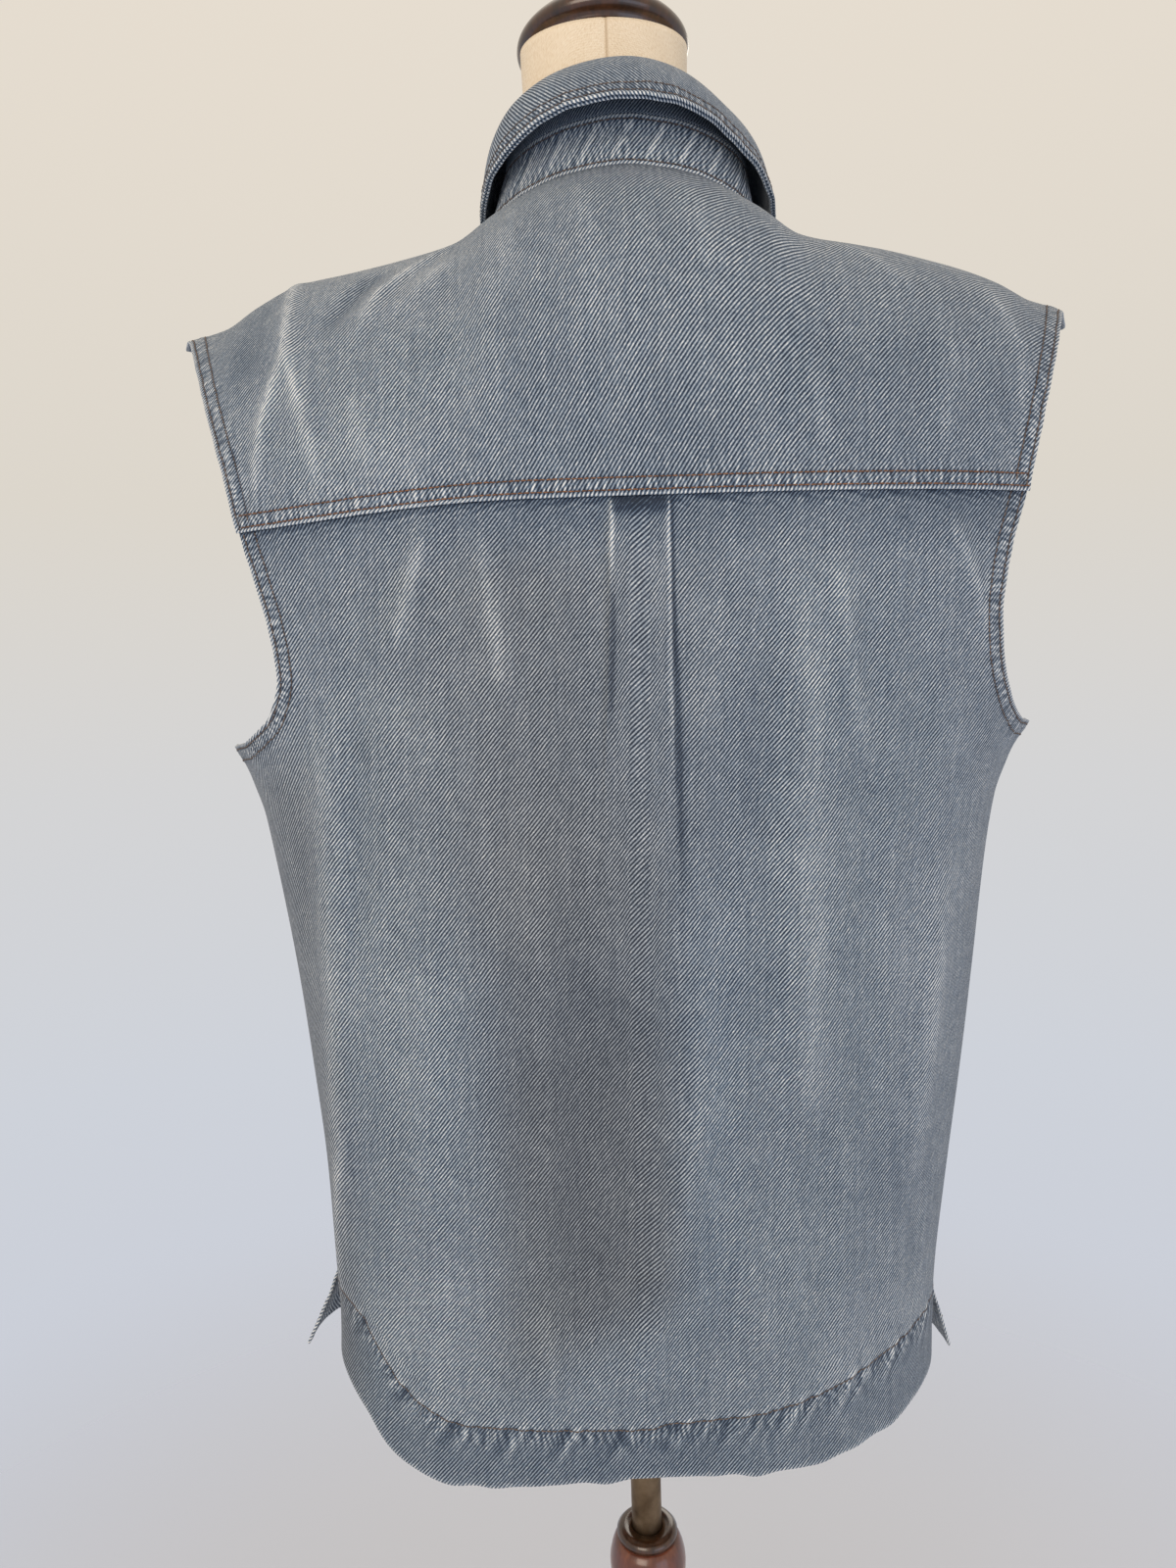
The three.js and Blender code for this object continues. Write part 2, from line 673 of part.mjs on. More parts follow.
// A front runs past the centre line by half the placket's width. Its first columns are the placket's.
const PLACKET_COLUMNS = [-1, -0.5, 0, 0.5, 1].map((t) => ({ past: t * PLACKET_HALF, share: 0 }));
const FRONT_COLUMNS = [
  ...PLACKET_COLUMNS,
  ...sideShares(15).map((share) => ({ past: PLACKET_HALF, share })),
];

function frontGrid(side, columns, out) {
  const hem = curveThrough(FRONT_HEM, 'share', side > 0 ? 'left' : 'right');
  const vent = side > 0 ? VENT_LEFT : VENT_RIGHT;
  const flare = side > 0 ? FLARE_LEFT : FLARE_RIGHT;
  const lowerRows = [0, 0.1, 0.2, 0.32, 0.46, 0.6, 0.75, 0.88, 1];
  const upperRows = [0, 0.02, 0.045, 0.085, 0.14, 0.22, 0.32, 0.44, 0.58, 0.74, 0.88, 1];
  const acrossAt = ({ past, share }, h) => side * mix(past, edgeOf(-1, side, h), share);
  // The right front steps inward near the centre and runs on under the left one, as the button stand.
  const under = (x) => (side < 0 ? -(CLOTH + 2 * SEAM_GAP) * ease((x + STAND_STEP_X) / STAND_STEP) : 0);
  const place = (column, h) => {
    const x = acrossAt(column, h);
    const corner = ease((column.share - FLARE_START) / (1 - FLARE_START));
    const spread = flare * corner * ease((vent - h) / FLARE_DROP);
    return openSeam(clothPoint(-1, x, h, out + under(x) + spread), -1, column.share, h);
  };
  const lower = lowerRows.map((t) =>
    columns.map((column) => place(column, mix(hem(column.share), SIDE_SEAM_ROW, t))),
  );
  const tops = columns.map((column) => frontTop(side, (h) => acrossAt(column, h)));
  const upper = upperRows.map((t) => columns.map((column, i) => place(column, mix(ARMPIT_Z, tops[i], t))));
  return [...lower, ...upper];
}

function frontPanel(side) {
  return wall(frontGrid(side, FRONT_COLUMNS, 0), frontGrid(side, FRONT_COLUMNS, -CLOTH));
}

// The placket lies on the left front's edge, from the hem to the neck.
function placket() {
  const outer = frontGrid(1, PLACKET_COLUMNS, SEAM_GAP + CLOTH);
  return wall(outer, frontGrid(1, PLACKET_COLUMNS, SEAM_GAP));
}

// The neck seam: a point of the cloth at the opening's edge, and the way straight out from it.
function neckSeam(turn) {
  const plan = neckPlan(turn);
  const step = 0.02;
  const tangent = neckPlan(turn + step).sub(neckPlan(turn - step));
  const outward = new THREE.Vector3(-tangent.y, tangent.x, 0).normalize();
  if (outward.x * plan.x + outward.y * (plan.y - SIDE_Y) < 0) {
    outward.negate();
  }
  const pastYoke = ease((Math.abs(turn) - FRONT_NECK_TURN) / 0.2);
  const out = 2 * SEAM_GAP + CLOTH + FRONT_NECK_LIFT * pastYoke;
  return { point: yokePoint(plan.x, wayOver(plan.x, plan.y), out), outward };
}

// The two ends of the collar meet at the front, the left one lapped past the centre line.
const COLLAR_RIGHT_END = -Math.PI + Math.asin((PLACKET_HALF - 1) / NECK_HALF);
const COLLAR_LEFT_END = Math.PI + Math.asin((PLACKET_HALF - 1) / NECK_HALF) - 0.01;

const FRONT_STEPS = 8;
const STAND_TURNS = [
  ...evenSteps(COLLAR_RIGHT_END, -FRONT_NECK_TURN, FRONT_STEPS).slice(0, -1),
  ...evenSteps(-FRONT_NECK_TURN, -CORNER_TURN, SIDE_STEPS).slice(0, -1),
  ...evenSteps(-CORNER_TURN, CORNER_TURN, BACK_STEPS),
  ...evenSteps(CORNER_TURN, FRONT_NECK_TURN, SIDE_STEPS).slice(1),
  ...evenSteps(FRONT_NECK_TURN, COLLAR_LEFT_END, FRONT_STEPS).slice(1),
];
// The leaf stops short of the stand's ends and takes every second step.
const LEAF_TURNS = STAND_TURNS.slice(1, -2).filter((_, i) => i % 2 === 0);

const collarShape = Object.fromEntries(
  ['lean', 'crestOut', 'crestUp', 'edgeOut', 'edgeClear'].map((column) => [
    column,
    curveThrough(COLLAR, 'turn', column),
  ]),
);

function wrapTurn(turn) {
  return turn > Math.PI ? turn - 2 * Math.PI : turn;
}

function collarStand() {
  const levels = [0, 0.5, 1];
  const grid = (inward) =>
    levels.map((level) =>
      STAND_TURNS.map((turn) => {
        const wrapped = wrapTurn(turn);
        const { point, outward } = neckSeam(wrapped);
        const lean = collarShape.lean(THREE.MathUtils.radToDeg(wrapped)) * level;
        point.addScaledVector(outward, -lean - inward);
        point.z += STAND_HEIGHT * level + 0.12 * inward;
        return point;
      }),
    );
  return wall(grid(0), grid(DOUBLE_CLOTH));
}

// The leaf's section: up from the stand's top seam, over its roll and down to the outer edge.
function leafSection(turn) {
  const degrees = THREE.MathUtils.radToDeg(turn);
  const at = (column) => collarShape[column](degrees);
  const { point, outward } = neckSeam(turn);
  const plan = neckPlan(turn).add(new THREE.Vector2(outward.x, outward.y).multiplyScalar(at('edgeOut')));
  const face = plan.y >= SIDE_Y ? 1 : -1;
  const edgeUp = heightOver(face, plan.x, plan.y) + at('edgeClear') - point.z;
  const stem = -at('lean') - DOUBLE_CLOTH / 2;
  const corners = [
    [stem, STAND_HEIGHT + 4 * SEAM_GAP],
    [mix(stem, at('crestOut') - 4, 0.7), mix(STAND_HEIGHT, at('crestUp'), 0.55)],
    [at('crestOut'), at('crestUp')],
    [mix(at('crestOut'), at('edgeOut'), 0.4) + 2.5, mix(at('crestUp'), edgeUp, 0.3)],
    [at('edgeOut'), edgeUp],
  ];
  const curve = new THREE.CatmullRomCurve3(corners.map(([out, up]) => new THREE.Vector3(out, up, 0)));
  return { point, outward, curve };
}

function collarLeaf() {
  const sections = LEAF_TURNS.map((turn) => leafSection(wrapTurn(turn)));
  const grid = (offset) =>
    Array.from({ length: LEAF_STEPS + 1 }, (_, row) =>
      sections.map(({ point, outward, curve }) => {
        const at = curve.getPoint(row / LEAF_STEPS);
        const tangent = curve.getTangent(row / LEAF_STEPS);
        const out = at.x - tangent.y * offset;
        const up = at.y + tangent.x * offset;
        return point.clone().addScaledVector(outward, out).add(new THREE.Vector3(0, 0, up));
      }),
    );
  return wall(grid(DOUBLE_CLOTH / 2), grid(-DOUBLE_CLOTH / 2));
}

// A dished button, turned round its own axis and set flat on the cloth.
function addButton(name, base, normal) {
  const profile = [
    [0, 0],
    [BUTTON_RADIUS * 0.75, 0],
    [BUTTON_RADIUS, BUTTON_THICK * 0.4],
    [BUTTON_RADIUS, BUTTON_THICK * 0.75],
    [BUTTON_RADIUS * 0.85, BUTTON_THICK],
    [BUTTON_RADIUS * 0.6, BUTTON_THICK * 0.75],
    [0, BUTTON_THICK * 0.7],
  ].map(([radius, height]) => new THREE.Vector2(radius, height));
  const mesh = addPiece(name, new THREE.LatheGeometry(profile, 10), buttonMetal);
  mesh.quaternion.setFromUnitVectors(new THREE.Vector3(0, 1, 0), normal);
  mesh.position.copy(base);
}

function addButtons() {
  const aboveCloth = 2 * SEAM_GAP + CLOTH;
  BUTTON_HEIGHTS.forEach((h, i) => {
    const normal = surfaceNormal(-1, 1, 0, h);
    addButton(`button_${i + 1}`, clothPoint(-1, 0, h, aboveCloth + SEAM_GAP), normal);
  });
}

function ellipseRing(half, back, front, round, heightOf, count = 32) {
  return Array.from({ length: count }, (_, i) => {
    const turn = (2 * Math.PI * i) / count;
    const x = half * Math.sign(Math.sin(turn)) * Math.abs(Math.sin(turn)) ** (2 / round);
    const depth = Math.cos(turn) > 0 ? back - SIDE_Y : front - SIDE_Y;
    const y = SIDE_Y + depth * Math.abs(Math.cos(turn)) ** (2 / round);
    return new THREE.Vector3(x, y, heightOf(x, y));
  });
}

// The form's shoulders follow the underside of the cloth that rests on them.
function formShoulderZ(x, y) {
  const face = y >= SIDE_Y ? 1 : -1;
  const fromCentre = x - centreX(RIDGE_H);
  const { share } = climbOver(face, fromCentre, y);
  const pastEdge = Math.min(Math.max(Math.abs(x) - FORM_SHOULDER, 0), FORM_ROUNDING);
  const rounding = FORM_ROUNDING - Math.sqrt(FORM_ROUNDING ** 2 - pastEdge ** 2);
  const easing = face > 0 ? FORM_EASE_BACK : FORM_EASE_FRONT;
  return heightOver(face, fromCentre, y) - FORM_CLEAR - easing * share - rounding;
}

function torso() {
  const bodyCurve = (column) => curveThrough(FORM_BODY, 'z', column);
  const neckCurve = (column) => curveThrough(FORM_NECK, 'z', column);
  const levels = [FORM_BOTTOM, 765, 805, 850, 900, 950, 1000, 1050, 1100, 1150, 1200, 1250, 1300];
  const rings = levels.map((z) =>
    ellipseRing(bodyCurve('half')(z), bodyCurve('back')(z), -bodyCurve('front')(z), 2.3, () => z),
  );
  for (const t of [0, 0.1, 0.22, 0.34, 0.46, 0.56, 0.65, 0.73, 0.81, 0.88, 0.94, 1]) {
    const half = mix(FORM_CHEST.half, FORM_NECK_BASE.half, t);
    const back = mix(FORM_CHEST.back, FORM_NECK_BASE.back, t);
    const front = mix(FORM_CHEST.front, FORM_NECK_BASE.front, t);
    rings.push(ellipseRing(half, back, front, mix(2.5, 2.1, t), formShoulderZ));
  }
  const baseRing = rings[rings.length - 1];
  for (const z of [1448, 1458, 1470, 1485, 1500, 1520, FORM_TOP]) {
    const front = -neckCurve('front')(z);
    const ring = ellipseRing(neckCurve('half')(z), neckCurve('back')(z), front, 2, () => z);
    const level = ease((z - NECK_ROOT_Z) / NECK_LEVELLING);
    ring.forEach((point, i) => {
      point.z = mix(baseRing[i].z + NECK_SLOPE * (z - NECK_ROOT_Z), z, level);
    });
    rings.push(ring);
  }
  return ringSolid(rings);
}

function lathe(profile, segments) {
  const points = profile.map(({ radius, z }) => new THREE.Vector2(radius, z));
  return new THREE.LatheGeometry(points, segments).rotateX(QUARTER);
}

// A curved leg: its tenon face stands against the post's block and its sole on the floor.
function leg() {
  const outline = new THREE.Shape();
  const inner = BLOCK_RADIUS + SEAM_GAP;
  const heel = LEG_REACH - LEG_SOLE;
  outline.moveTo(inner, LEG_ROOT_TOP);
  outline.bezierCurveTo(120, LEG_ROOT_TOP - 4, 190, 90, LEG_REACH - 26, 34);
  outline.quadraticCurveTo(LEG_REACH - 2, 26, LEG_REACH, 0);
  outline.lineTo(heel, 0);
  outline.bezierCurveTo(heel - 48, 34, 130, 120, inner, LEG_ROOT_BOTTOM);
  outline.closePath();
  const options = { depth: LEG_THICK, bevelEnabled: false, curveSegments: 9 };
  const geometry = new THREE.ExtrudeGeometry(outline, options);
  return geometry.translate(0, 0, -LEG_THICK / 2).rotateX(QUARTER);
}

addPiece('back_panel', backPanel(), denim);
addPiece('yoke', yoke(), denim);
addPiece('front_left', frontPanel(1), denim);
addPiece('front_right', frontPanel(-1), denim);
addPiece('placket', placket(), denim);
addPiece('collar_stand', collarStand(), darkDenim);
addPiece('collar_leaf', collarLeaf(), darkDenim);
addButtons();
addPiece('form_torso', torso(), formCloth);
addPiece('neck_cap', lathe(CAP_PROFILE, 24), walnut).position.set(0, NECK_AXIS_Y, FORM_TOP + SEAM_GAP);
addPiece('pole', lathe(POLE_PROFILE, 24), bronze);
addPiece('bushing', lathe(BUSHING_PROFILE, 20), walnut).position.z = POST_TOP + SEAM_GAP;
addPiece('post', lathe(POST_PROFILE, 20), mahogany);
LEG_TURNS.forEach((turn, i) => {
  addPiece(`leg_${i + 1}`, leg(), mahogany).rotation.z = THREE.MathUtils.degToRad(turn);
});

export default vestOnForm;
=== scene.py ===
# %% [markdown]
# # A washed denim vest on a dress form
#
# The vest is a sleeveless shirt of heavy cotton twill. It hangs on a limbless dress form with a
# turned wooden stand, and the picture looks at its back. Cloth could be simulated from flat panels,
# but this vest has been worn and hung for years, so its form is known. It is therefore built from
# its own sizes as fine grids, and every crease is placed one by one.

# %% Load the imported model
import math
import bpy
import bmesh
import numpy as np
from mathutils import Matrix, Vector, kdtree
from mathutils.bvhtree import BVHTree


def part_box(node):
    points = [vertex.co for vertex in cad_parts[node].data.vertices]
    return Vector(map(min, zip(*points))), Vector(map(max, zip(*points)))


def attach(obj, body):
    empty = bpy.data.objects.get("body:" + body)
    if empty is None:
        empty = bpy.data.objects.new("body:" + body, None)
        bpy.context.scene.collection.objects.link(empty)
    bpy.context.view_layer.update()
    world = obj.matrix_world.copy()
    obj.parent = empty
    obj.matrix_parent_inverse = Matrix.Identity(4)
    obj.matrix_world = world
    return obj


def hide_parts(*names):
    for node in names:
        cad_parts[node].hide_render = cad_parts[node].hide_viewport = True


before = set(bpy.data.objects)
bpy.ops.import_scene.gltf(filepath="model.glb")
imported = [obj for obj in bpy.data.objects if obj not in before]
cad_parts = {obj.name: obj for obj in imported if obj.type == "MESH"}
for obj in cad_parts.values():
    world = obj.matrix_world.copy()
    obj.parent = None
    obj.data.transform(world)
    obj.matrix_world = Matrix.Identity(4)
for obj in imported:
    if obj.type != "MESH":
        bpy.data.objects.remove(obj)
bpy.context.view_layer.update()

# %% [markdown]
# The camera is a phone held at chest height, less than a metre behind the vest, tilted 5 degrees
# down and a little turned. A phone's wide lens has a long side of about 75 degrees, which gives
# the strong narrowing towards the hem. All sizes below are millimetres, in a frame whose vertical
# axis is the stand's pole, and one function turns them to the model's metres.

# %% Frame and camera
MM = 0.001
POLE_LOW, POLE_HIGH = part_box("pole")
POLE_Y = (POLE_LOW.y + POLE_HIGH.y) / 2 / MM
CAMERA_AT = (24, 655, 1150)
CAMERA_DOWN = math.radians(5)
CAMERA_ROLL = math.radians(1.86)
LENS_SHARE = 1045 / 1600
SENSOR = 36


def to_metres(points):
    """Points of the pole's frame in millimetres, as metres in the model's frame."""
    return (np.asarray(points, float) + (0, POLE_Y, 0)) * MM


def camera():
    right = Vector((-1, 0, 0))
    up = Vector((0, -math.sin(CAMERA_DOWN), math.cos(CAMERA_DOWN)))
    cosine, sine = math.cos(CAMERA_ROLL), math.sin(CAMERA_ROLL)
    across = cosine * right - sine * up
    above = sine * right + cosine * up
    data = bpy.data.cameras.new("phone")
    data.sensor_width = SENSOR
    data.lens = LENS_SHARE * SENSOR
    data.clip_start = 0.01
    made = bpy.data.objects.new("phone", data)
    turn = Matrix((across, above, across.cross(above))).transposed().to_4x4()
    made.matrix_world = Matrix.Translation(Vector(to_metres(CAMERA_AT))) @ turn
    bpy.context.scene.collection.objects.link(made)
    bpy.context.scene.camera = made
    return made


print("camera at", [round(value, 3) for value in camera().matrix_world.translation])

# %% [markdown]
# Washed denim takes soft light well: a broad window behind the camera and pale walls round it.
# First come three small helpers: one turns a hex value to a linear colour, one adds a shader node
# with its links, and one sets the stops of a ramp. Display colours stay plain, so that the hex
# values below show as they are.

# %% Colours and nodes
bpy.context.scene.view_settings.view_transform = "Standard"


def colour(hexed):
    """A linear colour with alpha from an sRGB hex value."""
    parts = [int(hexed[i : i + 2], 16) / 255 for i in (1, 3, 5)]
    return (*[c / 12.92 if c <= 0.04045 else ((c + 0.055) / 1.055) ** 2.4 for c in parts], 1.0)


def add(tree, kind, links=None, **settings):
    """Adds a node. Settings are its own properties, and links feed its inputs with sockets or values."""
    made = tree.nodes.new("ShaderNode" + kind)
    for name, value in settings.items():
        setattr(made, name, value)
    for name, value in (links or {}).items():
        if isinstance(value, bpy.types.Node):
            value = value.outputs[0]
        if isinstance(value, bpy.types.NodeSocket):
            tree.links.new(value, made.inputs[name])
        else:
            made.inputs[name].default_value = value
    return made


def ramp(node, stops):
    """Sets a colour ramp's stops from pairs of place and hex colour."""
    elements = node.color_ramp.elements
    while len(elements) > len(stops):
        elements.remove(elements[-1])
    while len(elements) < len(stops):
        elements.new(1)
    for element, (place, hexed) in zip(elements, stops):
        element.position = place
        element.color = colour(hexed)
    return node


print("white", colour("#ffffff"), "mid grey", round(colour("#808080")[0], 3))

# %% [markdown]
# The world gives the walls, warm cream above and cool grey below. Three large lamps give the window,
# its cool return and the far side of the room, and a pale floor fades out before its rim.

# %% Walls, lamps and floor
WALL_FOOT, WALL_HEAD = -0.6, 0.65
WALL = [(0, "#c9cdd8"), (0.22, "#ced2da"), (0.42, "#d4d4d5"), (0.62, "#dcd6cc"), (1, "#e9dfd1")]
# Name, place, aim, side in metres, power in watts and colour
LAMPS = [
    ("window", (1.0, 2.5, 1.9), (0, 0, 1.15), 1.5, 33, "#fff1df"),
    ("return", (-1.6, 2.1, 0.8), (0, 0, 1.2), 1.6, 9, "#d8e5ff"),
    ("far_side", (-0.8, -2.6, 2.2), (0, 0, 1.1), 1.6, 20, "#fff6ea"),
]
FLOOR_SOLID = 0.45
FLOOR_GONE = 1.7
FLOOR_RIM = 0.1


def studio():
    world = bpy.data.worlds.new("room")
    bpy.context.scene.world = world
    world.use_nodes = True
    tree = world.node_tree
    tree.nodes.clear()
    parts = add(tree, "SeparateXYZ", {0: add(tree, "TexCoord").outputs["Generated"]})
    height = add(tree, "MapRange", {0: parts.outputs["Z"], 1: WALL_FOOT, 2: WALL_HEAD})
    wall = ramp(add(tree, "ValToRGB", {0: height}), WALL)
    add(tree, "OutputWorld", {0: add(tree, "Background", {0: wall})})


def lamp(name, at, aim, size, power, hexed):
    data = bpy.data.lights.new(name, "AREA")
    data.shape = "SQUARE"
    data.size = size
    data.energy = power
    data.color = colour(hexed)[:3]
    made = bpy.data.objects.new(name, data)
    made.location = at
    made.rotation_mode = "QUATERNION"
    made.rotation_quaternion = (Vector(aim) - Vector(at)).to_track_quat("-Z", "Y")
    bpy.context.scene.collection.objects.link(made)


def build_floor():
    bpy.ops.mesh.primitive_circle_add(vertices=96, radius=FLOOR_GONE + FLOOR_RIM, fill_type="NGON")
    floor = bpy.context.object
    floor.name = "floor"
    material = bpy.data.materials.new("pale_floor_paint")
    material.use_nodes = True
    tree = material.node_tree
    tree.nodes.clear()
    spot = add(tree, "VectorMath", {0: add(tree, "TexCoord").outputs["Object"]}, operation="LENGTH")
    clear = add(tree, "MapRange", {0: spot.outputs["Value"], 1: FLOOR_SOLID, 2: FLOOR_GONE},
                interpolation_type="SMOOTHSTEP")
    paint = add(tree, "BsdfPrincipled", {"Base Color": colour("#c3c8d4"), "Roughness": 0.9})
    both = add(tree, "MixShader", {0: clear, 1: paint, 2: add(tree, "BsdfTransparent")})
    add(tree, "OutputMaterial", {0: both})
    floor.data.materials.append(material)


studio()
for lamp_row in LAMPS:
    lamp(*lamp_row)
build_floor()
print("lamps", len(bpy.data.lights), "floor radius", FLOOR_GONE)

# %% [markdown]
# A body of cloth is easiest to hold as two faces, back and front, that meet at the side seams.
# Each face is a superellipse across, whose half width and depth change with height, and above the
# chest line it arches over to a shared shoulder line. The tables are that shape's sizes, in
# millimetres. Each row is one level, or one share of the way round where its key says so.

# %% Tables of the hanging cloth
CHEST_Z = 1252
ARMPIT_Z = 1120
ARCH = 230
RIDGE_H = CHEST_Z + ARCH
SIDE_Y = -8
SEAM_GAP = 0.3
CLOTH = 1.6
DOUBLE_CLOTH = 2.4
HAND = 22
ROUND_BACK, ROUND_FRONT = 2.6, 2.2
QUARTER = math.pi / 2
SHOULDER_SOFT = 18
ARMPIT_ROUND = 8
WARP_START = 660
WARP_X = 110.0
WARP_STEPS = 400


def table(heads, *rows):
    return {head: np.array([row[i] for row in rows], float) for i, head in enumerate(heads.split())}


BODY = table(
    "z left right back front",
    (680, 207, 190, 90, 126),
    (760, 200, 190, 95, 132),
    (840, 200.5, 197, 101, 138),
    (920, 207.5, 207, 106, 143),
    (1000, 215.5, 215.5, 111, 148),
    (1060, 224.5, 222, 113, 151),
    (1105, 234, 231, 115, 152),
    (1130, 251, 250, 116, 151),
    (1252, 292, 292, 116, 132),
)
SHOULDER = table(
    "x left right",
    (0, 1466, 1466),
    (40, 1455, 1455),
    (76, 1435, 1435),
    (100, 1418, 1418),
    (130, 1410, 1411),
    (160, 1404, 1404),
    (190, 1399, 1397),
    (215, 1388, 1389),
    (235, 1377, 1380),
    (255, 1373, 1375),
    (275, 1371, 1367),
)
ARMHOLE = table(
    "h back_left back_right front_left front_right",
    (1120, 244, 242.5, 244, 242.5),
    (1130, 223, 221, 226, 225),
    (1145, 204, 209, 205, 206),
    (1165, 198, 202, 194, 195),
    (1190, 201.5, 199, 190, 190),
    (1220, 209.5, 202, 190, 190),
    (1252, 218.5, 210, 194, 193),
    (1310, 233, 226, 206, 204),
    (1370, 247, 243, 226, 224),
    (1430, 261, 259.5, 250, 249),
    (1482, 274, 275, 274, 275),
)
BACK_HEM = table(
    "share left right",
    (0, 690, 690),
    (0.3, 686, 688.5),
    (0.5, 682, 690),
    (0.63, 682.5, 695.5),
    (0.72, 688, 700),
    (0.8, 699, 704.5),
    (0.87, 714, 710),
    (0.93, 724, 715),
    (1, 731, 720),
)
BACK_HEM_STITCH = table(
    "share left right",
    (0, 721, 723),
    (0.3, 720.8, 726.4),
    (0.55, 720.8, 737),
    (0.67, 729.4, 745),
    (0.745, 740, 750.7),
    (0.8, 754, 754),
    (0.89, 777, 760.7),
    (1, 783, 766),
)
FRONT_HEM = table(
    "share left right", (0, 702, 700), (0.5, 697, 693), (0.8, 700, 694), (1, 720, 704)
)
PLEAT = table("h half", (680, 27), (1085, 19.5), (1180, 17), (1262, 15.5))
print("rows of the body", len(BODY["z"]), "from", BODY["z"][0], "to", BODY["z"][-1])

# %% [markdown]
# Between two rows the curve is a cubic whose slope at each row is the harmonic mean of the rises
# beside it, and level where they differ in sign. So it can't swing past either row.

# %% Curves through the tables


def curve_through(rows, key, column):
    """A smooth curve through a table's rows that never overshoots them."""
    places, values = rows[key], rows[column]
    rises = np.diff(values) / np.diff(places)
    before = np.concatenate([rises[:1], rises])
    after = np.concatenate([rises, rises[-1:]])
    same_way = before * after > 0
    slopes = np.where(same_way, 2 * before * after / np.where(same_way, before + after, 1), 0)

    def at(where):
        place = np.clip(where, places[0], places[-1])
        row = np.clip(np.searchsorted(places, place, side="right") - 1, 0, len(places) - 2)
        span = places[row + 1] - places[row]
        t = (place - places[row]) / span
        start = values[row] * (1 + 2 * t) * (1 - t) ** 2 + slopes[row] * span * t * (1 - t) ** 2
        return start + values[row + 1] * t * t * (3 - 2 * t) + slopes[row + 1] * span * t * t * (t - 1)

    return at


def curves(rows, key):
    """A curve for every column of a table but its key."""
    return {name: curve_through(rows, key, name) for name in rows if name != key}


BODY_CURVE = curves(BODY, "z")
SHOULDER_CURVE = curves(SHOULDER, "x")
ARMHOLE_CURVE = curves(ARMHOLE, "h")
pleat_half = curve_through(PLEAT, "h", "half")
print("half width at the chest", BODY_CURVE["left"](CHEST_Z), "pleat half", float(pleat_half(1180)))

# %% [markdown]
# The surface itself is one function of a turn round from the centre line and a height. Every
# later piece, seam and stitch asks this function where it is, so they all fit each other.

# %% Small helpers of shape


def ease(value):
    """Zero up to 0, one past 1, and a soft climb between."""
    t = np.clip(value, 0, 1)
    return t * t * (3 - 2 * t)


def bell(away, width, power=2):
    """One at no distance, and gone at about twice the width."""
    return np.exp(-((away / width) ** power))


def unit(vectors):
    return vectors / np.maximum(np.linalg.norm(vectors, axis=-1, keepdims=True), 1e-9)


def run_lengths(line):
    """The length from a line's first point to each of its points."""
    return np.concatenate([[0], np.cumsum(np.linalg.norm(np.diff(line, axis=0), axis=1))])


def side_of(x):
    return np.where(np.less(x, 0), -1, 1)


def face_of(y):
    return np.where(y >= SIDE_Y, 1, -1)


def by_side(side, pair, at):
    return np.where(side > 0, pair["left"](at), pair["right"](at))


print("bell at its width", round(float(bell(1.0, 1.0)), 3), "ease at a half", float(ease(0.5)))

# %% The surface of the cloth


def half_width(side, z):
    """Half width of the body, averaged over a hand's width of height so that no row shows."""
    parts = ((0.25, -HAND), (0.5, 0), (0.25, HAND))
    return sum(share * by_side(side, BODY_CURVE, z + off) for share, off in parts)


def shoulder_z(x):
    """Height of the shoulder line, level on the centre line."""
    return by_side(side_of(x), SHOULDER_CURVE, np.hypot(x, SHOULDER_SOFT))


def centre_x(z):
    """The vest hangs a little to the wearer's right at the top."""
    return -2 - 6 * ease((z - 1000) / 300)


def roundness(face):
    return np.where(face > 0, ROUND_BACK, ROUND_FRONT)


def arch_roundness(face, x):
    return np.where(face > 0, 2.3, 1.6 + 0.7 * ease(np.abs(x) / 220))


def depth_at(face, z):
    return np.where(face > 0, BODY_CURVE["back"](z) - SIDE_Y, -(BODY_CURVE["front"](z) + SIDE_Y))


def across_at(face, side, turn, h):
    """Distance from the centre line at a turn and a height, negative on the wearer's right."""
    return side * half_width(side, np.minimum(h, CHEST_Z)) * np.sin(turn) ** (2 / roundness(face))


def surface(face, side, turn, h):
    """A point of the cloth's outer surface: turn 0 is the centre line, a quarter the side seam."""
    low = np.minimum(h, CHEST_Z)
    x = across_at(face, side, turn, h)
    across = depth_at(face, low) * np.maximum(np.cos(turn), 0) ** (2 / roundness(face))
    climb = np.clip((h - CHEST_Z) / ARCH, 0, 1) * QUARTER
    arch_power = 2 / arch_roundness(face, x)
    z = low + (shoulder_z(x) - CHEST_Z) * np.sin(climb) ** arch_power
    y = SIDE_Y + across * np.maximum(np.cos(climb), 0) ** arch_power
    return np.stack(np.broadcast_arrays(x + centre_x(z), y, z), -1)


print("nape", surface(1, 1, 0.0, 1480).round(1), "side", surface(1, 1, QUARTER, 1000.0).round(1))

# %% [markdown]
# Pieces and seams are known by their distance from the centre line, so the surface is also asked the
# other way round: which turn lies there, which way the cloth faces and where its edges run.

# %% Places and edges on the cloth


def turn_for(face, x, h):
    share = np.abs(x) / half_width(side_of(x), np.minimum(h, CHEST_Z))
    return np.arcsin(np.minimum(share, 1) ** (roundness(face) / 2))


def surface_normal(face, side, turn, h):
    step, rise = 0.01, 1.0
    low, high = np.maximum(turn - step, 0), np.minimum(turn + step, QUARTER)
    along = surface(face, side, high, h) - surface(face, side, low, h)
    up = surface(face, side, turn, np.minimum(h + rise, RIDGE_H)) - surface(face, side, turn, h - rise)
    return unit(np.cross(along, up) * np.where(face * side > 0, -1.0, 1.0)[..., None])


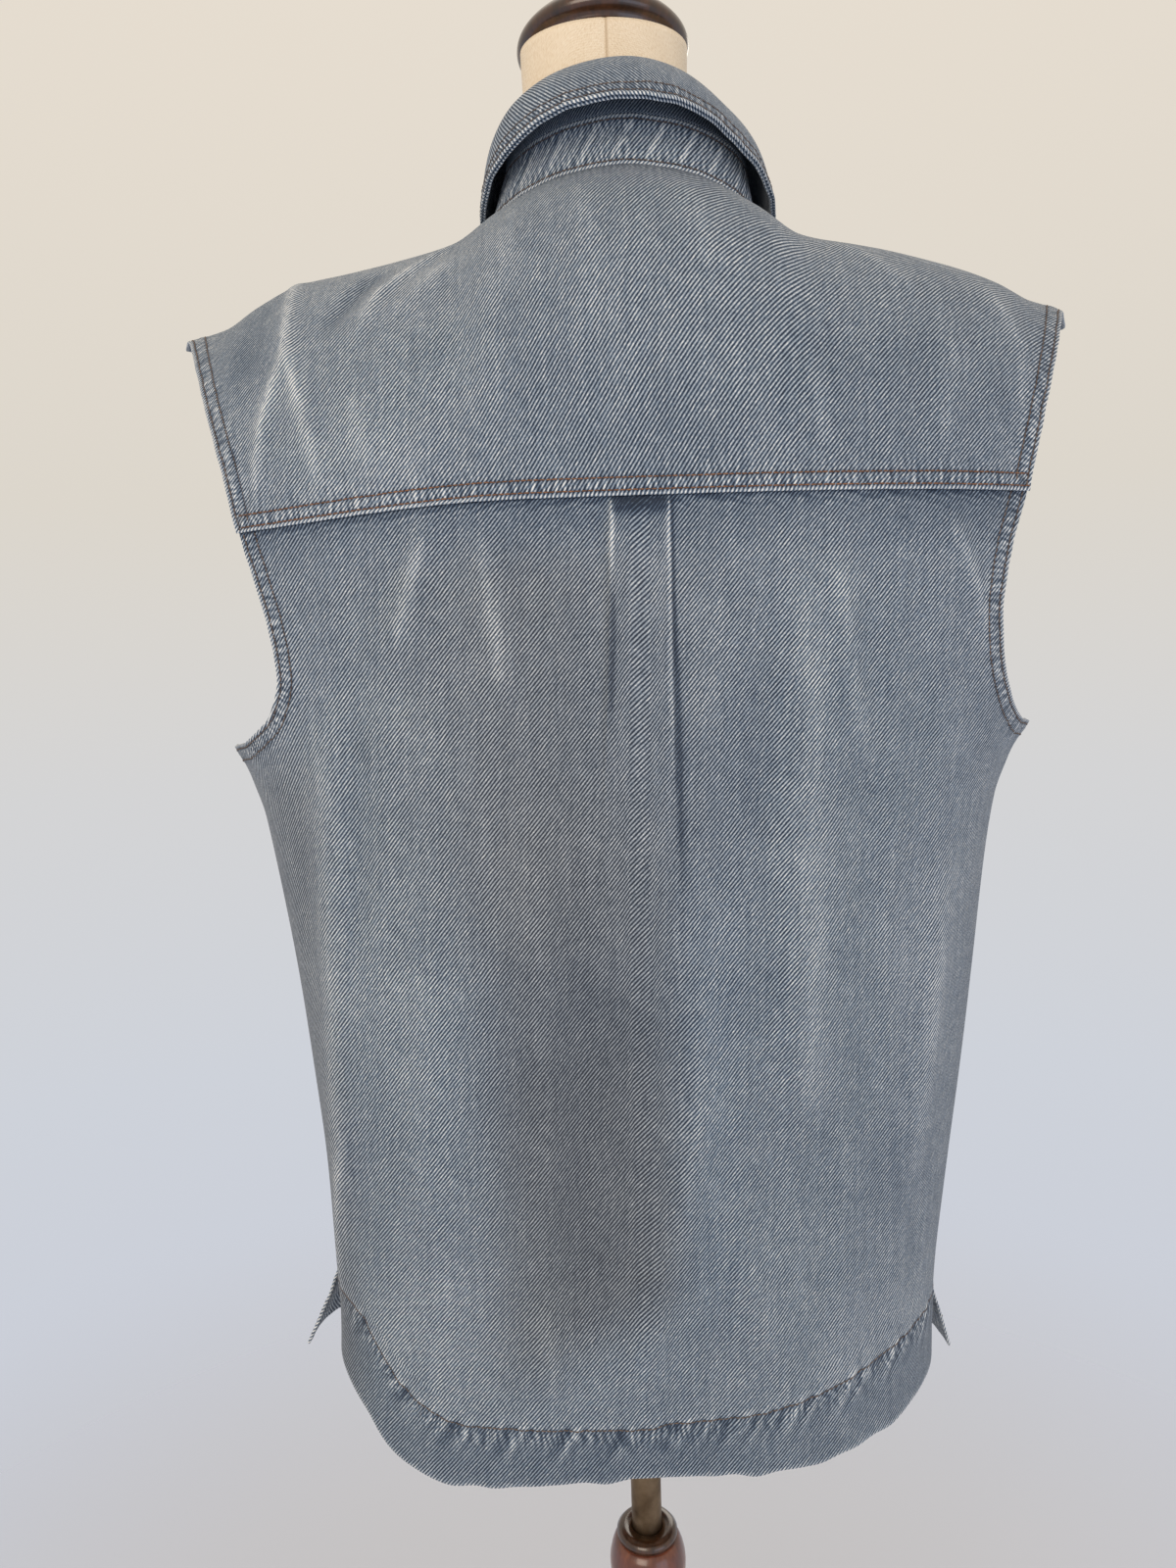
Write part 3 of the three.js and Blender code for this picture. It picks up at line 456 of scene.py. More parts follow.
def on_cloth(face, x, h, out):
    """Points moved out from the surface, by x along the panel and h up it."""
    x, h, out = np.broadcast_arrays(x, h, out)
    side, turn = side_of(x), turn_for(face, x, h)
    return surface(face, side, turn, h) + surface_normal(face, side, turn, h) * out[..., None]


def edge_x(face, side, h):
    """Half width of a panel at a height: to the side seam, or to the armhole above it."""
    arms = [
        np.where(side > 0, ARMHOLE_CURVE[name + "_left"](h), ARMHOLE_CURVE[name + "_right"](h))
        for name in ("back", "front")
    ]
    arm, seam = np.where(face > 0, *arms), half_width(side, h)
    past_corner = np.clip((h - ARMPIT_Z) / ARMPIT_ROUND, 0, 1) ** 2
    return seam + (arm - seam) * past_corner


def yoke_edge(x):
    """Height of the yoke's lower edge on the back."""
    return CHEST_Z - 9 * ease((x - 60) / 180)


def warp_length(face, h):
    """Length of cloth from the hem up to a height, measured a hand's width off the centre line."""
    steps = np.linspace(WARP_START, RIDGE_H, WARP_STEPS)
    return np.interp(h, steps, run_lengths(on_cloth(face, WARP_X, steps, 0)))


print("cloth from the hem to the shoulder line", round(float(warp_length(1, RIDGE_H))), "mm")

# %% [markdown]
# Worn denim holds its creases: a ridge rubs pale and a hollow stays blue. Each crease is a row of
# points with a width, a rise and how far it has worn, placed from the photograph. A soft
# ridge is a bell across and fades at both ends.

# %% Creases
# Places x and h along the ridge, then its width, rise and wear
BACK_CREASES = [
    ([(172, 1133), (177, 990), (186, 800)], 11, 4.0, 0.35),
    ([(176, 900), (187, 830), (193, 770)], 4, 1.4, 0.5),
    ([(-172, 1038), (-157, 861)], 12, 4.0, 0.3),
    ([(-101, 1225), (-119, 1118)], 7, 2.6, 0.3),
    ([(-165, 1240), (-191, 1179)], 6, 2.6, 0.4),
    ([(-88, 1215), (-93, 1072), (-92, 905)], 18, 5.0, 0.3),
    ([(112, 1238), (128, 1180)], 8, 3.6, 0.5),
    ([(83, 1235), (71, 1150)], 8, 3.2, 0.4),
    ([(60, 1060), (52, 940), (60, 830)], 12, 2.2, 0.15),
    ([(-34, 1000), (-33, 930), (-8, 800), (15, 740)], 14, 4.5, 0.1),
    ([(120, 1000), (128, 860)], 14, 2.0, 0.1),
    ([(-60, 830), (-72, 752)], 12, 2.4, 0.1),
    ([(62, 800), (58, 742)], 10, 2.8, 0.2),
    # This broad hollow down the centre darkens as painted shade as well as unworn blue
    ([(30, 1010), (32, 770)], 46, -8.0, -0.22),
    ([(40, 1190), (34, 1000)], 34, -1.5, -0.1),
    ([(-60, 1180), (-62, 1060)], 12, -2.0, -0.1),
    ([(150, 1160), (158, 1010)], 9, -2.2, -0.1),
]
YOKE_CREASES = [
    ([(189, 1425), (187, 1330)], 5, 2.6, 0.85),
    ([(187, 1335), (200, 1290), (204, 1258)], 4.5, 2.4, 0.9),
    ([(187, 1340), (177, 1295), (168, 1262)], 6, 2.2, 0.7),
    ([(206, 1400), (212, 1320)], 11, -2.0, -0.22),
    ([(164, 1345), (136, 1402)], 7, -2.4, -0.4),
    ([(148, 1332), (138, 1366), (98, 1416)], 5, 1.8, 0.5),
    ([(128, 1345), (96, 1390)], 8, 1.0, 0.2),
    ([(150, 1300), (140, 1265)], 8, 1.4, 0.3),
    ([(62, 1400), (74, 1330), (70, 1275)], 11, 1.2, 0.15),
    ([(26, 1395), (18, 1310)], 12, 1.0, 0.12),
    ([(-30, 1400), (-44, 1330)], 12, 1.2, 0.15),
    ([(-118, 1410), (-150, 1360)], 9, 1.4, 0.25),
    ([(-196, 1390), (-210, 1330), (-204, 1280)], 8, 1.6, 0.3),
    ([(-170, 1330), (-160, 1270)], 9, 1.3, 0.2),
    ([(-92, 1300), (-96, 1262)], 7, 1.2, 0.3),
]
FRONT_CREASES = [
    ([(170, 1140), (176, 1000), (182, 840)], 12, 3.5, 0.3),
    ([(-168, 1130), (-172, 980), (-160, 850)], 12, 3.5, 0.3),
    ([(92, 1180), (98, 1040), (90, 900)], 18, 4.0, 0.25),
    ([(-90, 1160), (-84, 1020), (-92, 860)], 18, 4.0, 0.25),
    ([(60, 900), (66, 760)], 16, 3.0, 0.1),
    ([(-58, 920), (-52, 770)], 16, 3.0, 0.1),
    ([(150, 1330), (168, 1250), (172, 1190)], 10, 2.0, 0.3),
    ([(-150, 1330), (-166, 1240)], 10, 2.0, 0.3),
    ([(120, 820), (126, 740)], 14, -3.0, -0.2),
    ([(-118, 830), (-124, 745)], 14, -3.0, -0.2),
]

print("creases", len(BACK_CREASES) + len(YOKE_CREASES) + len(FRONT_CREASES))

# %% [markdown]
# A ridge rubs pale on a line narrower than itself. Between the creases a few long slow waves keep the
# cloth from looking ironed, and along a seam a shorter uneven wave draws it in.

# %% What creases and seams do
RUBBED_SHARE = 0.42
CREASE_ENDS = 0.25
WAVE_LENGTHS = (190, 150, 120, 95, 75, 60)
WAVE_HEIGHT = 0.45


def crease_field(x, h, creases):
    """Rise and wear at each place, from every crease near it."""
    rise = np.zeros(np.shape(x))
    worn = np.zeros(np.shape(x))
    for points, width, height, wear in creases:
        corners = np.array(points, float)
        starts = run_lengths(corners)
        nearest = np.full(np.shape(x), 1e9)
        way = np.zeros(np.shape(x))
        for (x0, h0), (x1, h1), run, start in zip(corners, corners[1:], np.diff(starts), starts):
            t = np.clip(((x - x0) * (x1 - x0) + (h - h0) * (h1 - h0)) / run**2, 0, 1)
            away = np.hypot(x - x0 - t * (x1 - x0), h - h0 - t * (h1 - h0))
            way = np.where(away < nearest, (start + t * run) / starts[-1], way)
            nearest = np.minimum(away, nearest)
        fade = np.clip(1 - (2 * way - 1) ** 4, 0, 1) * (1 - CREASE_ENDS) + CREASE_ENDS
        broad = bell(nearest, width)
        rubbed = bell(nearest, RUBBED_SHARE * width) * (0.75 + 0.25 * np.sin(9 * way + points[0][0]))
        rise += height * fade * broad
        worn += wear * fade * (broad if wear < 0 else 0.75 * rubbed + 0.26 * broad)
    return rise, worn


def slow_waves(x, h, seed):
    """Long uneven waves of about a millimetre."""
    draw = np.random.default_rng(seed)
    total = np.zeros(np.shape(x))
    for length in WAVE_LENGTHS:
        lean = draw.uniform(-0.5, 0.5)
        phase = draw.uniform(0, 2 * math.pi)
        way = x * math.cos(lean) + h * math.sin(lean)
        total += length / WAVE_LENGTHS[0] * np.sin(2 * math.pi * way / length + phase)
    return WAVE_HEIGHT * total


def uneven(s, step, seed):
    """A wave along a seam, uneven in length and depth, for the puckers that a seam draws in."""
    draw = np.random.default_rng(seed)
    phases = draw.uniform(0, 2 * math.pi, 4)
    parts = [0.6, 0.5, 0.35, 0.3]
    steps = [step, step * 1.47, step * 0.72, step * 2.9]
    return sum(a * np.sin(2 * math.pi * s / b + c) for a, b, c in zip(parts, steps, phases))


print("slow wave", slow_waves(np.zeros(1), np.zeros(1), 3).round(2), "mm on the centre line")

# %% [markdown]
# A garment edge is cloth folded under and stitched, so it is round and thicker than the panel.
# Solidify would give a square rim, so the wall is built here: an outer grid, an inner grid and a
# few rounded strips between them. One map holds the weave, as real lengths along the cloth in
# metres, which a flat pattern piece would have. A second one holds how far along its seam and how
# far from it a place is. A colour attribute holds where the cloth is worn or puckered, and the
# painted light and shade that make it darker, lighter or greyer.

# %% Grids and pieces
FINISH = ("worn", "dark", "pucker", "grey")


def lengths_along(points, axis):
    """Lengths from the first row or column of a grid of points."""
    steps = np.linalg.norm(np.diff(points, axis=axis), axis=-1)
    start = np.zeros_like(np.take(steps, [0], axis=axis))
    return np.concatenate([start, np.cumsum(steps, axis=axis)], axis=axis)


def grid_quads(rows, columns):
    index = np.arange(rows * columns).reshape(rows, columns)
    return np.stack([index[:-1, :-1], index[:-1, 1:], index[1:, 1:], index[1:, :-1]], -1).reshape(-1, 4)


def border(rows, columns):
    """Rows and columns of a grid's border in order, and of the points just inside it."""
    r = [0] * columns + list(range(1, rows)) + [rows - 1] * (columns - 1) + list(range(rows - 2, 0, -1))
    c = list(range(columns)) + [columns - 1] * (rows - 1)
    c += list(range(columns - 2, -1, -1)) + [0] * (rows - 2)
    r, c = np.array(r), np.array(c)
    return r, c, np.clip(r, 1, rows - 2), np.clip(c, 1, columns - 2)


def at_corners(mesh, values):
    """Values of the vertices, one for each corner of each face."""
    corners = np.empty(len(mesh.loops), np.int64)
    mesh.loops.foreach_get("vertex_index", corners)
    return values[corners]


def add_map(mesh, label, pairs):
    layer = mesh.uv_layers.new(name=label)
    layer.data.foreach_set("uv", pairs.astype(np.float32).ravel())


def new_piece(name, mesh, finish, body, node=None):
    """A smooth piece that rides on a body, takes a finish and may replace a node."""
    mesh.polygons.foreach_set("use_smooth", np.ones(len(mesh.polygons), bool))
    mesh.materials.append(finish)
    made = bpy.data.objects.new(name, mesh)
    bpy.context.scene.collection.objects.link(made)
    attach(made, body)
    if node:
        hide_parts(node)
    return made


print("border of a 3 by 4 grid", len(border(3, 4)[0]), "points")

# %% [markdown]
# The rounded strips are given as steps over the edge: how far down through the cloth each lies, as a
# share of its thickness, and how far it stands out, as a share of half of it. A turned edge is one
# soft round. The collar's leaf is two layers sewn together, so its edge is two rounds with a shaded
# groove between them.

# %% A closed wall of cloth
SOFT_EDGE = [(0.15, 0.5), (0.5, 0.8), (0.85, 0.5)]
TWO_LAYER_EDGE = [(0.08, 0.55), (0.26, 0.85), (0.46, 0.1), (0.56, 0.1), (0.76, 0.85), (0.93, 0.55)]
LAYER_SHADE = 1.5
GROOVE_OUT = 0.4


def cloth_wall(points, thick, edge, bulge, flip):
    """Vertices and faces of a wall below a grid, and what runs values on over its rounded edge."""
    rows, columns = points.shape[:2]
    normals = unit(np.cross(np.gradient(points, axis=0), np.gradient(points, axis=1)))
    thick = np.broadcast_to(thick, (rows, columns))
    inner = points - normals * (-1 if flip else 1) * thick[..., None]
    r, c, ri, ci = border(rows, columns)
    rim, rim_thick = points[r, c], thick[r, c][:, None]
    outward = rim - points[ri, ci]
    reach = np.linalg.norm(outward, axis=1, keepdims=True)
    outward = unit(outward) * np.broadcast_to(bulge, (rows, columns))[r, c][:, None]
    through = inner[r, c] - rim
    rings = [rim + through * down + outward * rim_thick / 2 * out for down, out in edge]
    vertices = np.concatenate([points.reshape(-1, 3), inner.reshape(-1, 3), *rings])
    quads = grid_quads(rows, columns)
    faces = [quads, quads[:, ::-1] + rows * columns]
    loops = [r * columns + c]
    loops += [2 * rows * columns + k * len(r) + np.arange(len(r)) for k in range(len(edge))]
    loops.append(r * columns + c + rows * columns)
    for upper, lower in zip(loops, loops[1:]):
        faces.append(np.stack([np.roll(upper, -1), upper, lower, np.roll(lower, -1)], -1))
    faces = np.concatenate(faces)

    def run_on(values):
        """Values of the grid for every vertex, at the same slope over the rounded edge."""
        slope = (values[r, c] - values[ri, ci]) / np.maximum(reach, 0.2)
        over = [values[r, c] + slope * rim_thick * down for down, _ in edge]
        return np.concatenate([values.reshape(-1, values.shape[-1])] * 2 + over)

    return vertices, faces if flip else faces[:, ::-1], run_on


def cloth_mesh(name, points, thick, maps, finish, edge=SOFT_EDGE, bulge=1.0, flip=False):
    """A closed wall below a grid of points, with named maps and its finish."""
    shape = points.shape[:2]
    vertices, faces, run_on = cloth_wall(points, thick, edge, bulge, flip)
    mesh = bpy.data.meshes.new(name)
    mesh.from_pydata(to_metres(vertices).tolist(), [], faces.tolist())
    for label, pair in maps.items():
        pairs = run_on(np.stack(np.broadcast_arrays(*pair), -1)) * MM
        add_map(mesh, label, at_corners(mesh, pairs))
    layers = [np.broadcast_to(finish[key], shape) for key in FINISH]
    tint = np.stack([np.clip(0.5 + 0.5 * layer, 0, 1) for layer in layers], -1)
    r, c, _, _ = border(*shape)
    shade = np.eye(len(FINISH))[FINISH.index("dark")] * LAYER_SHADE
    over = [tint[r, c] + shade * max(GROOVE_OUT - out, 0) for _, out in edge]
    tint = np.concatenate([tint.reshape(-1, len(FINISH))] * 2 + over)
    attribute = mesh.color_attributes.new("finish", "FLOAT_COLOR", "POINT")
    attribute.data.foreach_set("color", tint.astype(np.float32).ravel())
    return mesh


print("edge steps", len(SOFT_EDGE), len(TWO_LAYER_EDGE))

# %% [markdown]
# Most of what makes a seam look sewn happens within a finger's width of it: the cloth draws in, the
# bumps rub pale and the thread sinks. So each piece needs to know how far every place is from its
# seams, and how far along them. A search tree over the seam's own points answers both.

# %% Seams
SEAM_APART = 137.0
GROOVE_HALF = 0.8
PUCKER_WAVE, PUCKER_LONG = 5.2, 21
ALLOWANCE = 0.35


def dense(line, step=0.6):
    """The same line with points at even steps, and the length at each."""
    line = np.asarray(line, float)
    length = run_lengths(line)
    at = np.linspace(0, length[-1], max(int(length[-1] / step), 2))
    return np.stack([np.interp(at, length, line[:, i]) for i in range(3)], -1), at


def near_seam(points, lines):
    """Distance to the nearest seam line, the length along it, and which line it is."""
    runs = [dense(line) for line in lines]
    spots = np.concatenate([spot for spot, _ in runs])
    lengths = np.concatenate([at + SEAM_APART * owner for owner, (_, at) in enumerate(runs)])
    owners = np.concatenate([np.full(len(at), owner) for owner, (_, at) in enumerate(runs)])
    tree = kdtree.KDTree(len(spots))
    for i, spot in enumerate(spots):
        tree.insert(spot, i)
    tree.balance()
    found = np.array([tree.find(point)[1:] for point in points.reshape(-1, 3)])
    index = found[:, 0].astype(int)
    shape = points.shape[:-1]
    return found[:, 1].reshape(shape), lengths[index].reshape(shape), owners[index].reshape(shape)


def seam_relief(distance, along, rows, seed, depth):
    """Grooves under the rows of thread, a raised allowance behind them, and puckers between."""
    groove = sum(bell(distance - row, GROOVE_HALF) for row in rows)
    last = max(rows)
    drawn = uneven(along, PUCKER_WAVE, seed) * bell(distance - last * 0.55, last * 0.75) * ease(distance / 3)
    longer = uneven(along, PUCKER_LONG, seed + 1) * bell(distance, last * 2.2)
    allowance = ALLOWANCE * (1 - ease((distance - last - 0.5) / 2))
    return allowance + 0.5 * depth * (drawn + longer) - 0.4 * groove, drawn, groove


def shell_tree(points):
    quads = grid_quads(*points.shape[:2])
    return BVHTree.FromPolygons(points.reshape(-1, 3).tolist(), quads.tolist())


def inset(points, distance):
    """A line inside the grid's first row, at a distance in the cloth."""
    edge, inner = points[0], points[min(4, len(points) - 1)]
    tangent = unit(np.gradient(edge, axis=0))
    inward = inner - edge
    inward -= tangent * np.sum(inward * tangent, axis=1, keepdims=True)
    return edge + unit(inward) * distance


print("a seam's groove is", 2 * GROOVE_HALF, "mm wide, its puckers", PUCKER_WAVE, "mm long")

# %% [markdown]
# Thread is what says that cloth was sewn, so each stitch is modelled, as a short swollen bead that
# dips in at both ends. Its pitch gives about eight stitches an inch, as on jeans.

# %% Stitches
STITCH_PITCH = 3.3
STITCH_LENGTH = 2.95
THREAD_RADIUS = 0.34
STITCH_SIDES = 5
STITCH_SWELL = [(0.0, 0.5), (0.2, 1.0), (0.8, 1.0), (1.0, 0.5)]
STITCH_STRAY = 0.15


def stitch_rings(tree, line, length, start, outside):
    """Rings of one stitch on the cloth, from a place along its line."""
    spots = []
    for share, _ in STITCH_SWELL:
        at = start + STITCH_LENGTH * share
        place, normal, _, _ = tree.find_nearest(Vector([np.interp(at, length, line[:, k]) for k in range(3)]))
        spots.append((place, -normal if normal.dot(Vector(outside)) < 0 else normal))
    along = (spots[-1][0] - spots[0][0]).normalized()
    points = []
    for (place, normal), (_, size) in zip(spots, STITCH_SWELL):
        across = along.cross(normal).normalized()
        middle = place + normal * THREAD_RADIUS * (1.15 * size - 0.55)
        for angle in np.linspace(0, 2 * math.pi, STITCH_SIDES, endpoint=False):
            offset = across * (math.cos(angle) * 1.25) + normal * (math.sin(angle) * 0.9)
            points.append(middle + offset * THREAD_RADIUS * size)
    return points


def stitches(name, thread, runs):
    """Short raised stitches along lines. A run is a shell's tree, a line and the way out of the cloth."""
    levels = len(STITCH_SWELL)
    bead = []
    for k in range(levels - 1):
        for j in range(STITCH_SIDES):
            a, b = k * STITCH_SIDES + j, k * STITCH_SIDES + (j + 1) % STITCH_SIDES
            bead.append((a, b, b + STITCH_SIDES, a + STITCH_SIDES))
    bead.append(tuple(reversed(range(STITCH_SIDES))))
    bead.append(tuple(range((levels - 1) * STITCH_SIDES, levels * STITCH_SIDES)))
    vertices, faces = [], []
    draw = np.random.default_rng(len(runs) + len(name))
    for tree, line, outside in runs:
        line, length = dense(line, 0.8)
        for i in range(int(length[-1] / STITCH_PITCH)):
            start = i * STITCH_PITCH + draw.uniform(-STITCH_STRAY, STITCH_STRAY)
            faces += [tuple(len(vertices) + corner for corner in face) for face in bead]
            vertices += stitch_rings(tree, line, length, start, outside)
    mesh = bpy.data.meshes.new(name)
    mesh.from_pydata(to_metres(np.array([v[:] for v in vertices])).tolist(), [], faces)
    new_piece(name, mesh, thread, "form")
    print(name, len(faces), "faces")


print("stitch", STITCH_LENGTH, "mm every", STITCH_PITCH, "mm")

# %% [markdown]
# Every panel is finished the same way: its grid of base points is pushed out by the creases, the
# slow waves and what its seams do, gets its walls, and has its flat size and area recorded. Lengths
# up the cloth are measured on the grid, or given as its warp.

# %% Finish one panel
SHEETS = {}
SEAM_SEED = 31


def panel(name, node, points, normals, rise, across, seams, worn=0.0, dark=0.0, pucker=0.0, grey=0.0,
          depth=0.5, warp=None, thick=CLOTH, held="hung", **wall):
    """Builds a panel. Seams are pairs of a line and the distances of its rows of thread."""
    distance, along, owner = near_seam(points, [line for line, _ in seams])
    sewn, drawn, groove = np.zeros((3, *points.shape[:2]))
    for number, (_, rows) in enumerate(seams):
        if rows:
            parts = seam_relief(distance, along, rows, SEAM_SEED + number, depth)
            sewn, drawn, groove = [
                np.where(owner == number, new, old) for new, old in zip(parts, (sewn, drawn, groove))
            ]
    shaped = points + normals * (rise + sewn)[..., None]
    up = lengths_along(shaped, 0)
    stitched = np.array([bool(rows) for _, rows in seams])[owner]
    # The groove under each row of thread is painted with its shade and wears less; rims and drawn ridges rub
    # pale
    finish = {
        "worn": worn + 0.55 * bell(distance, 1.4) * stitched + 0.22 * drawn * stitched - 0.25 * groove,
        "dark": dark + 0.45 * groove - 0.2 * drawn * stitched,
        "pucker": np.maximum(stitched * bell(distance, 9), pucker),
        "grey": grey,
    }
    maps = {"weave": (across, up if warp is None else warp), "seam": (along, distance)}
    mesh = cloth_mesh(name, shaped, thick, maps, finish, **wall)
    made = new_piece(name, mesh, DENIM, "form", node)
    edges = np.cross(shaped[1:, :-1] - shaped[:-1, :-1], shaped[:-1, 1:] - shaped[:-1, :-1])
    area = float(np.linalg.norm(edges, axis=-1).sum()) * MM**2
    width = float((across.max(1) - across.min(1)).max()) * MM
    length = float(up.max()) * MM
    SHEETS[name] = (round(width, 3), round(length, 3), round(area, 4))
    print(name, "quads", len(mesh.polygons), "flat", SHEETS[name])
    return {"points": shaped, "tree": shell_tree(shaped)}


DENIM = bpy.data.materials.new("washed_denim")
print("cloth material", DENIM.name)

# %% [markdown]
# A grid's columns are laid at true lengths across the cloth, close together where it is folded or
# sewn, and its rows gather at the hem, the armpit and the yoke. Lists of marks and of the counts
# between them say where.

# %% Columns and rows of a panel
TURNS = np.linspace(0, 1, 241) ** 0.8 * QUARTER


def spread_columns(face, side, h, edge, keys, counts):
    """Turns at true lengths across one row, gathered at the keys. A negative key is from the edge."""
    length = run_lengths(surface(face, side, TURNS, h))
    end = turn_for(face, side * edge, h)
    last = np.interp(end, TURNS, length)
    marks = [key if key >= 0 else last + key for key in keys] + [last]
    spots = np.interp(np.arange(counts[-1] + 1), counts, marks)
    turns = np.interp(spots, length, TURNS)
    turns[-1] = end
    return turns, spots


def rows_between(marks, counts):
    """Heights of every row from the marks of each column."""
    rows = np.arange(counts[-1] + 1)
    return np.stack([np.interp(rows, counts, column) for column in np.transpose(marks)], -1)


print("turns across a face", len(TURNS))

# %% [markdown]
# The back is cut in one piece, about 60 cm wide with its pleat laid in, and its hem swings up to
# the side vents like a shirt's tail. Its rows follow the hem below and the yoke above.

# %% The grid of the back
BACK_HEM_CURVE = curves(BACK_HEM, "share")
BACK_STITCH_CURVE = curves(BACK_HEM_STITCH, "share")
TAIL_Z = 700.0
HEM_ROW = 15
HEM_WAVE, HEM_WAVE_LENGTH = 0.9, 34
STITCH_HALF = 1.6
ARMPIT_ROWS = (1112, ARMPIT_Z, ARMPIT_Z + ARMPIT_ROUND, 1146)
BACK_COLUMNS = [0, 3, 6, 22, 27, 80, 86, 90, 94, 97]
BACK_ROWS = [0, 14, HEM_ROW, 16, 22, 136, 139, 157, 165, 188, 194, 201]


def back_keys(h):
    fold = float(pleat_half(h))
    return [0, fold - 6, fold - 3.5, fold + 4.5, fold + 14, -26, -12, -7, -2.5]


def back_grid():
    half = BACK_COLUMNS[-1]
    side = np.where(np.arange(2 * half + 1) < half, -1, 1)
    share = np.zeros(2 * half + 1)
    for sign in (-1, 1):
        edge = float(half_width(sign, TAIL_Z))
        turns, _ = spread_columns(1, sign, TAIL_Z, edge, back_keys(TAIL_Z), BACK_COLUMNS)
        share[half + sign * np.arange(half + 1)] = np.sin(turns) ** (2 / ROUND_BACK)
    low = by_side(side, BACK_HEM_CURVE, share) + HEM_WAVE * uneven(side * share * 220, HEM_WAVE_LENGTH, 17)
    seam = by_side(side, BACK_STITCH_CURVE, share)
    top = yoke_edge(side * share * half_width(side, CHEST_Z) * 0.8)
    marks = [low, seam - STITCH_HALF, seam, seam + STITCH_HALF, seam + 14]
    marks += [np.full(len(share), height) for height in ARMPIT_ROWS]
    marks += [top - 22, top - 7, top - SEAM_GAP]
    h = rows_between(marks, BACK_ROWS)
    turn, spot = np.zeros_like(h), np.zeros_like(h)
    for row in range(len(h)):
        for sign in (-1, 1):
            columns = half + sign * np.arange(half + 1)
            height = float(h[row, columns[-1]] if row > BACK_ROWS[4] else np.median(h[row, columns]))
            edge = float(edge_x(1, sign, height))
            turns, spots = spread_columns(1, sign, height, edge, back_keys(height), BACK_COLUMNS)
            turn[row, columns], spot[row, columns] = turns, sign * spots
    side = np.broadcast_to(side, h.shape)
    x = across_at(1, side, turn, h)
    h[-1] = yoke_edge(x[-1]) - SEAM_GAP
    return h, turn, x, spot, side, low, seam


print("back grid", BACK_ROWS[-1] + 1, "rows", 2 * BACK_COLUMNS[-1] + 1, "columns")

# %% [markdown]
# A box pleat is cloth folded towards the centre line from both sides and caught in the yoke seam, so
# a strip stands proud there and opens out downwards. Its two folds rub pale at the top, and painted
# shadow darkens the hollows beside them and the cloth under the yoke.

# %% The pleat
PLEAT_RAISE = 2.2
PLEAT_FALL = 1.4
PLEAT_VALLEY = 1.5
PLEAT_END = 1060
OPENS_Z = 1120


def pleat_relief(x, h):
    """Rise, wear and painted shadow of the box pleat under the yoke."""
    below = yoke_edge(x) - h
    fade = ease((h - PLEAT_END) / 110) * ease(below / 6)
    away = np.abs(x) - pleat_half(h)
    inside = 1 - ease((away + PLEAT_FALL / 2) / PLEAT_FALL)
    rise = fade * (PLEAT_RAISE * inside - PLEAT_VALLEY * bell(away - 6, 7) * (1 - inside))
    upper = ease((h - 1205) / 30)
    worn = bell(away + 1.2, 1.3) * fade * np.where(x < 0, 0.45 + 0.35 * upper, 0.1 + 0.9 * upper)
    open_way = 1 - ease((h - OPENS_Z) / 100)
    # Painted shadow in the hollow beside each fold and inside the opening fold; the patch is painted shadow
    # under the yoke's edge and also takes away wear
    fold_shadow = bell(away - 0.8 - 1.4 * open_way, 0.9 + 1.3 * open_way) * (x < 0) * ease((h - 1030) / 60)
    inner = bell(away + 2.4, 1.8) * (x > 0) * ease((h - OPENS_Z) / 40) * ease((1212 - h) / 25)
    patch = bell(below, 9, 4) * (away < -1)
    return rise, worn - 0.4 * patch, fold_shadow + 1.1 * inner + 1.1 * patch


print("pleat width under the yoke", round(2 * float(pleat_half(CHEST_Z)), 1), "mm")

# %% [markdown]
# The back's colour is not even: it carries painted light and shade. A cloudy painted shadow lies low
# on the centre, a veil of painted shade over the middle and a painted lighter band beside them, and
# the cloth that turns away at the wearer's left is painted in shade. The hem is folded up and drawn
# in by its stitching, so its puckers lean across it.

# %% The back panel
ARMHOLE_THREAD = (2.4, 9.5)
JOIN_ROUND = 3


def back_light_and_shade(x, h, below):
    """Painted light and shade of the broad fields on the back, as darkness and greyness."""
    # Painted shade: a cloudy shadow low on the centre, a veil over the middle and shade where the cloth turns
    # away; a painted lighter band lies beside them
    shaded = bell(x - 34, 56, 4) * ease((1160 - h) / 260) * ease((h - 762 + 0.5 * x) / 60)
    veil_shade = bell(x - 58, 78) * ease((h - 960) / 120) * ease((below - 8) / 40)
    lit_band = bell(x + 33 + 0.02 * (h - 900), 17) * ease((1090 - h) / 80) * ease((h - 775) / 50)
    turned_away_shade = 1.6 * ease((x - 160) / 36) * ease((ARMPIT_Z + 30 - h) / 60) + 0.4 * ease((-x - 172) / 34)
    # A little painted light round x 122 lessens the darkness
    dark = 0.37 * shaded + 0.14 * veil_shade - 0.06 * lit_band - 0.1 * bell(x - 122, 46) + 0.2 * turned_away_shade
    return dark, 0.6 * shaded + 0.45 * veil_shade + 0.25 * turned_away_shade - 0.15 * lit_band


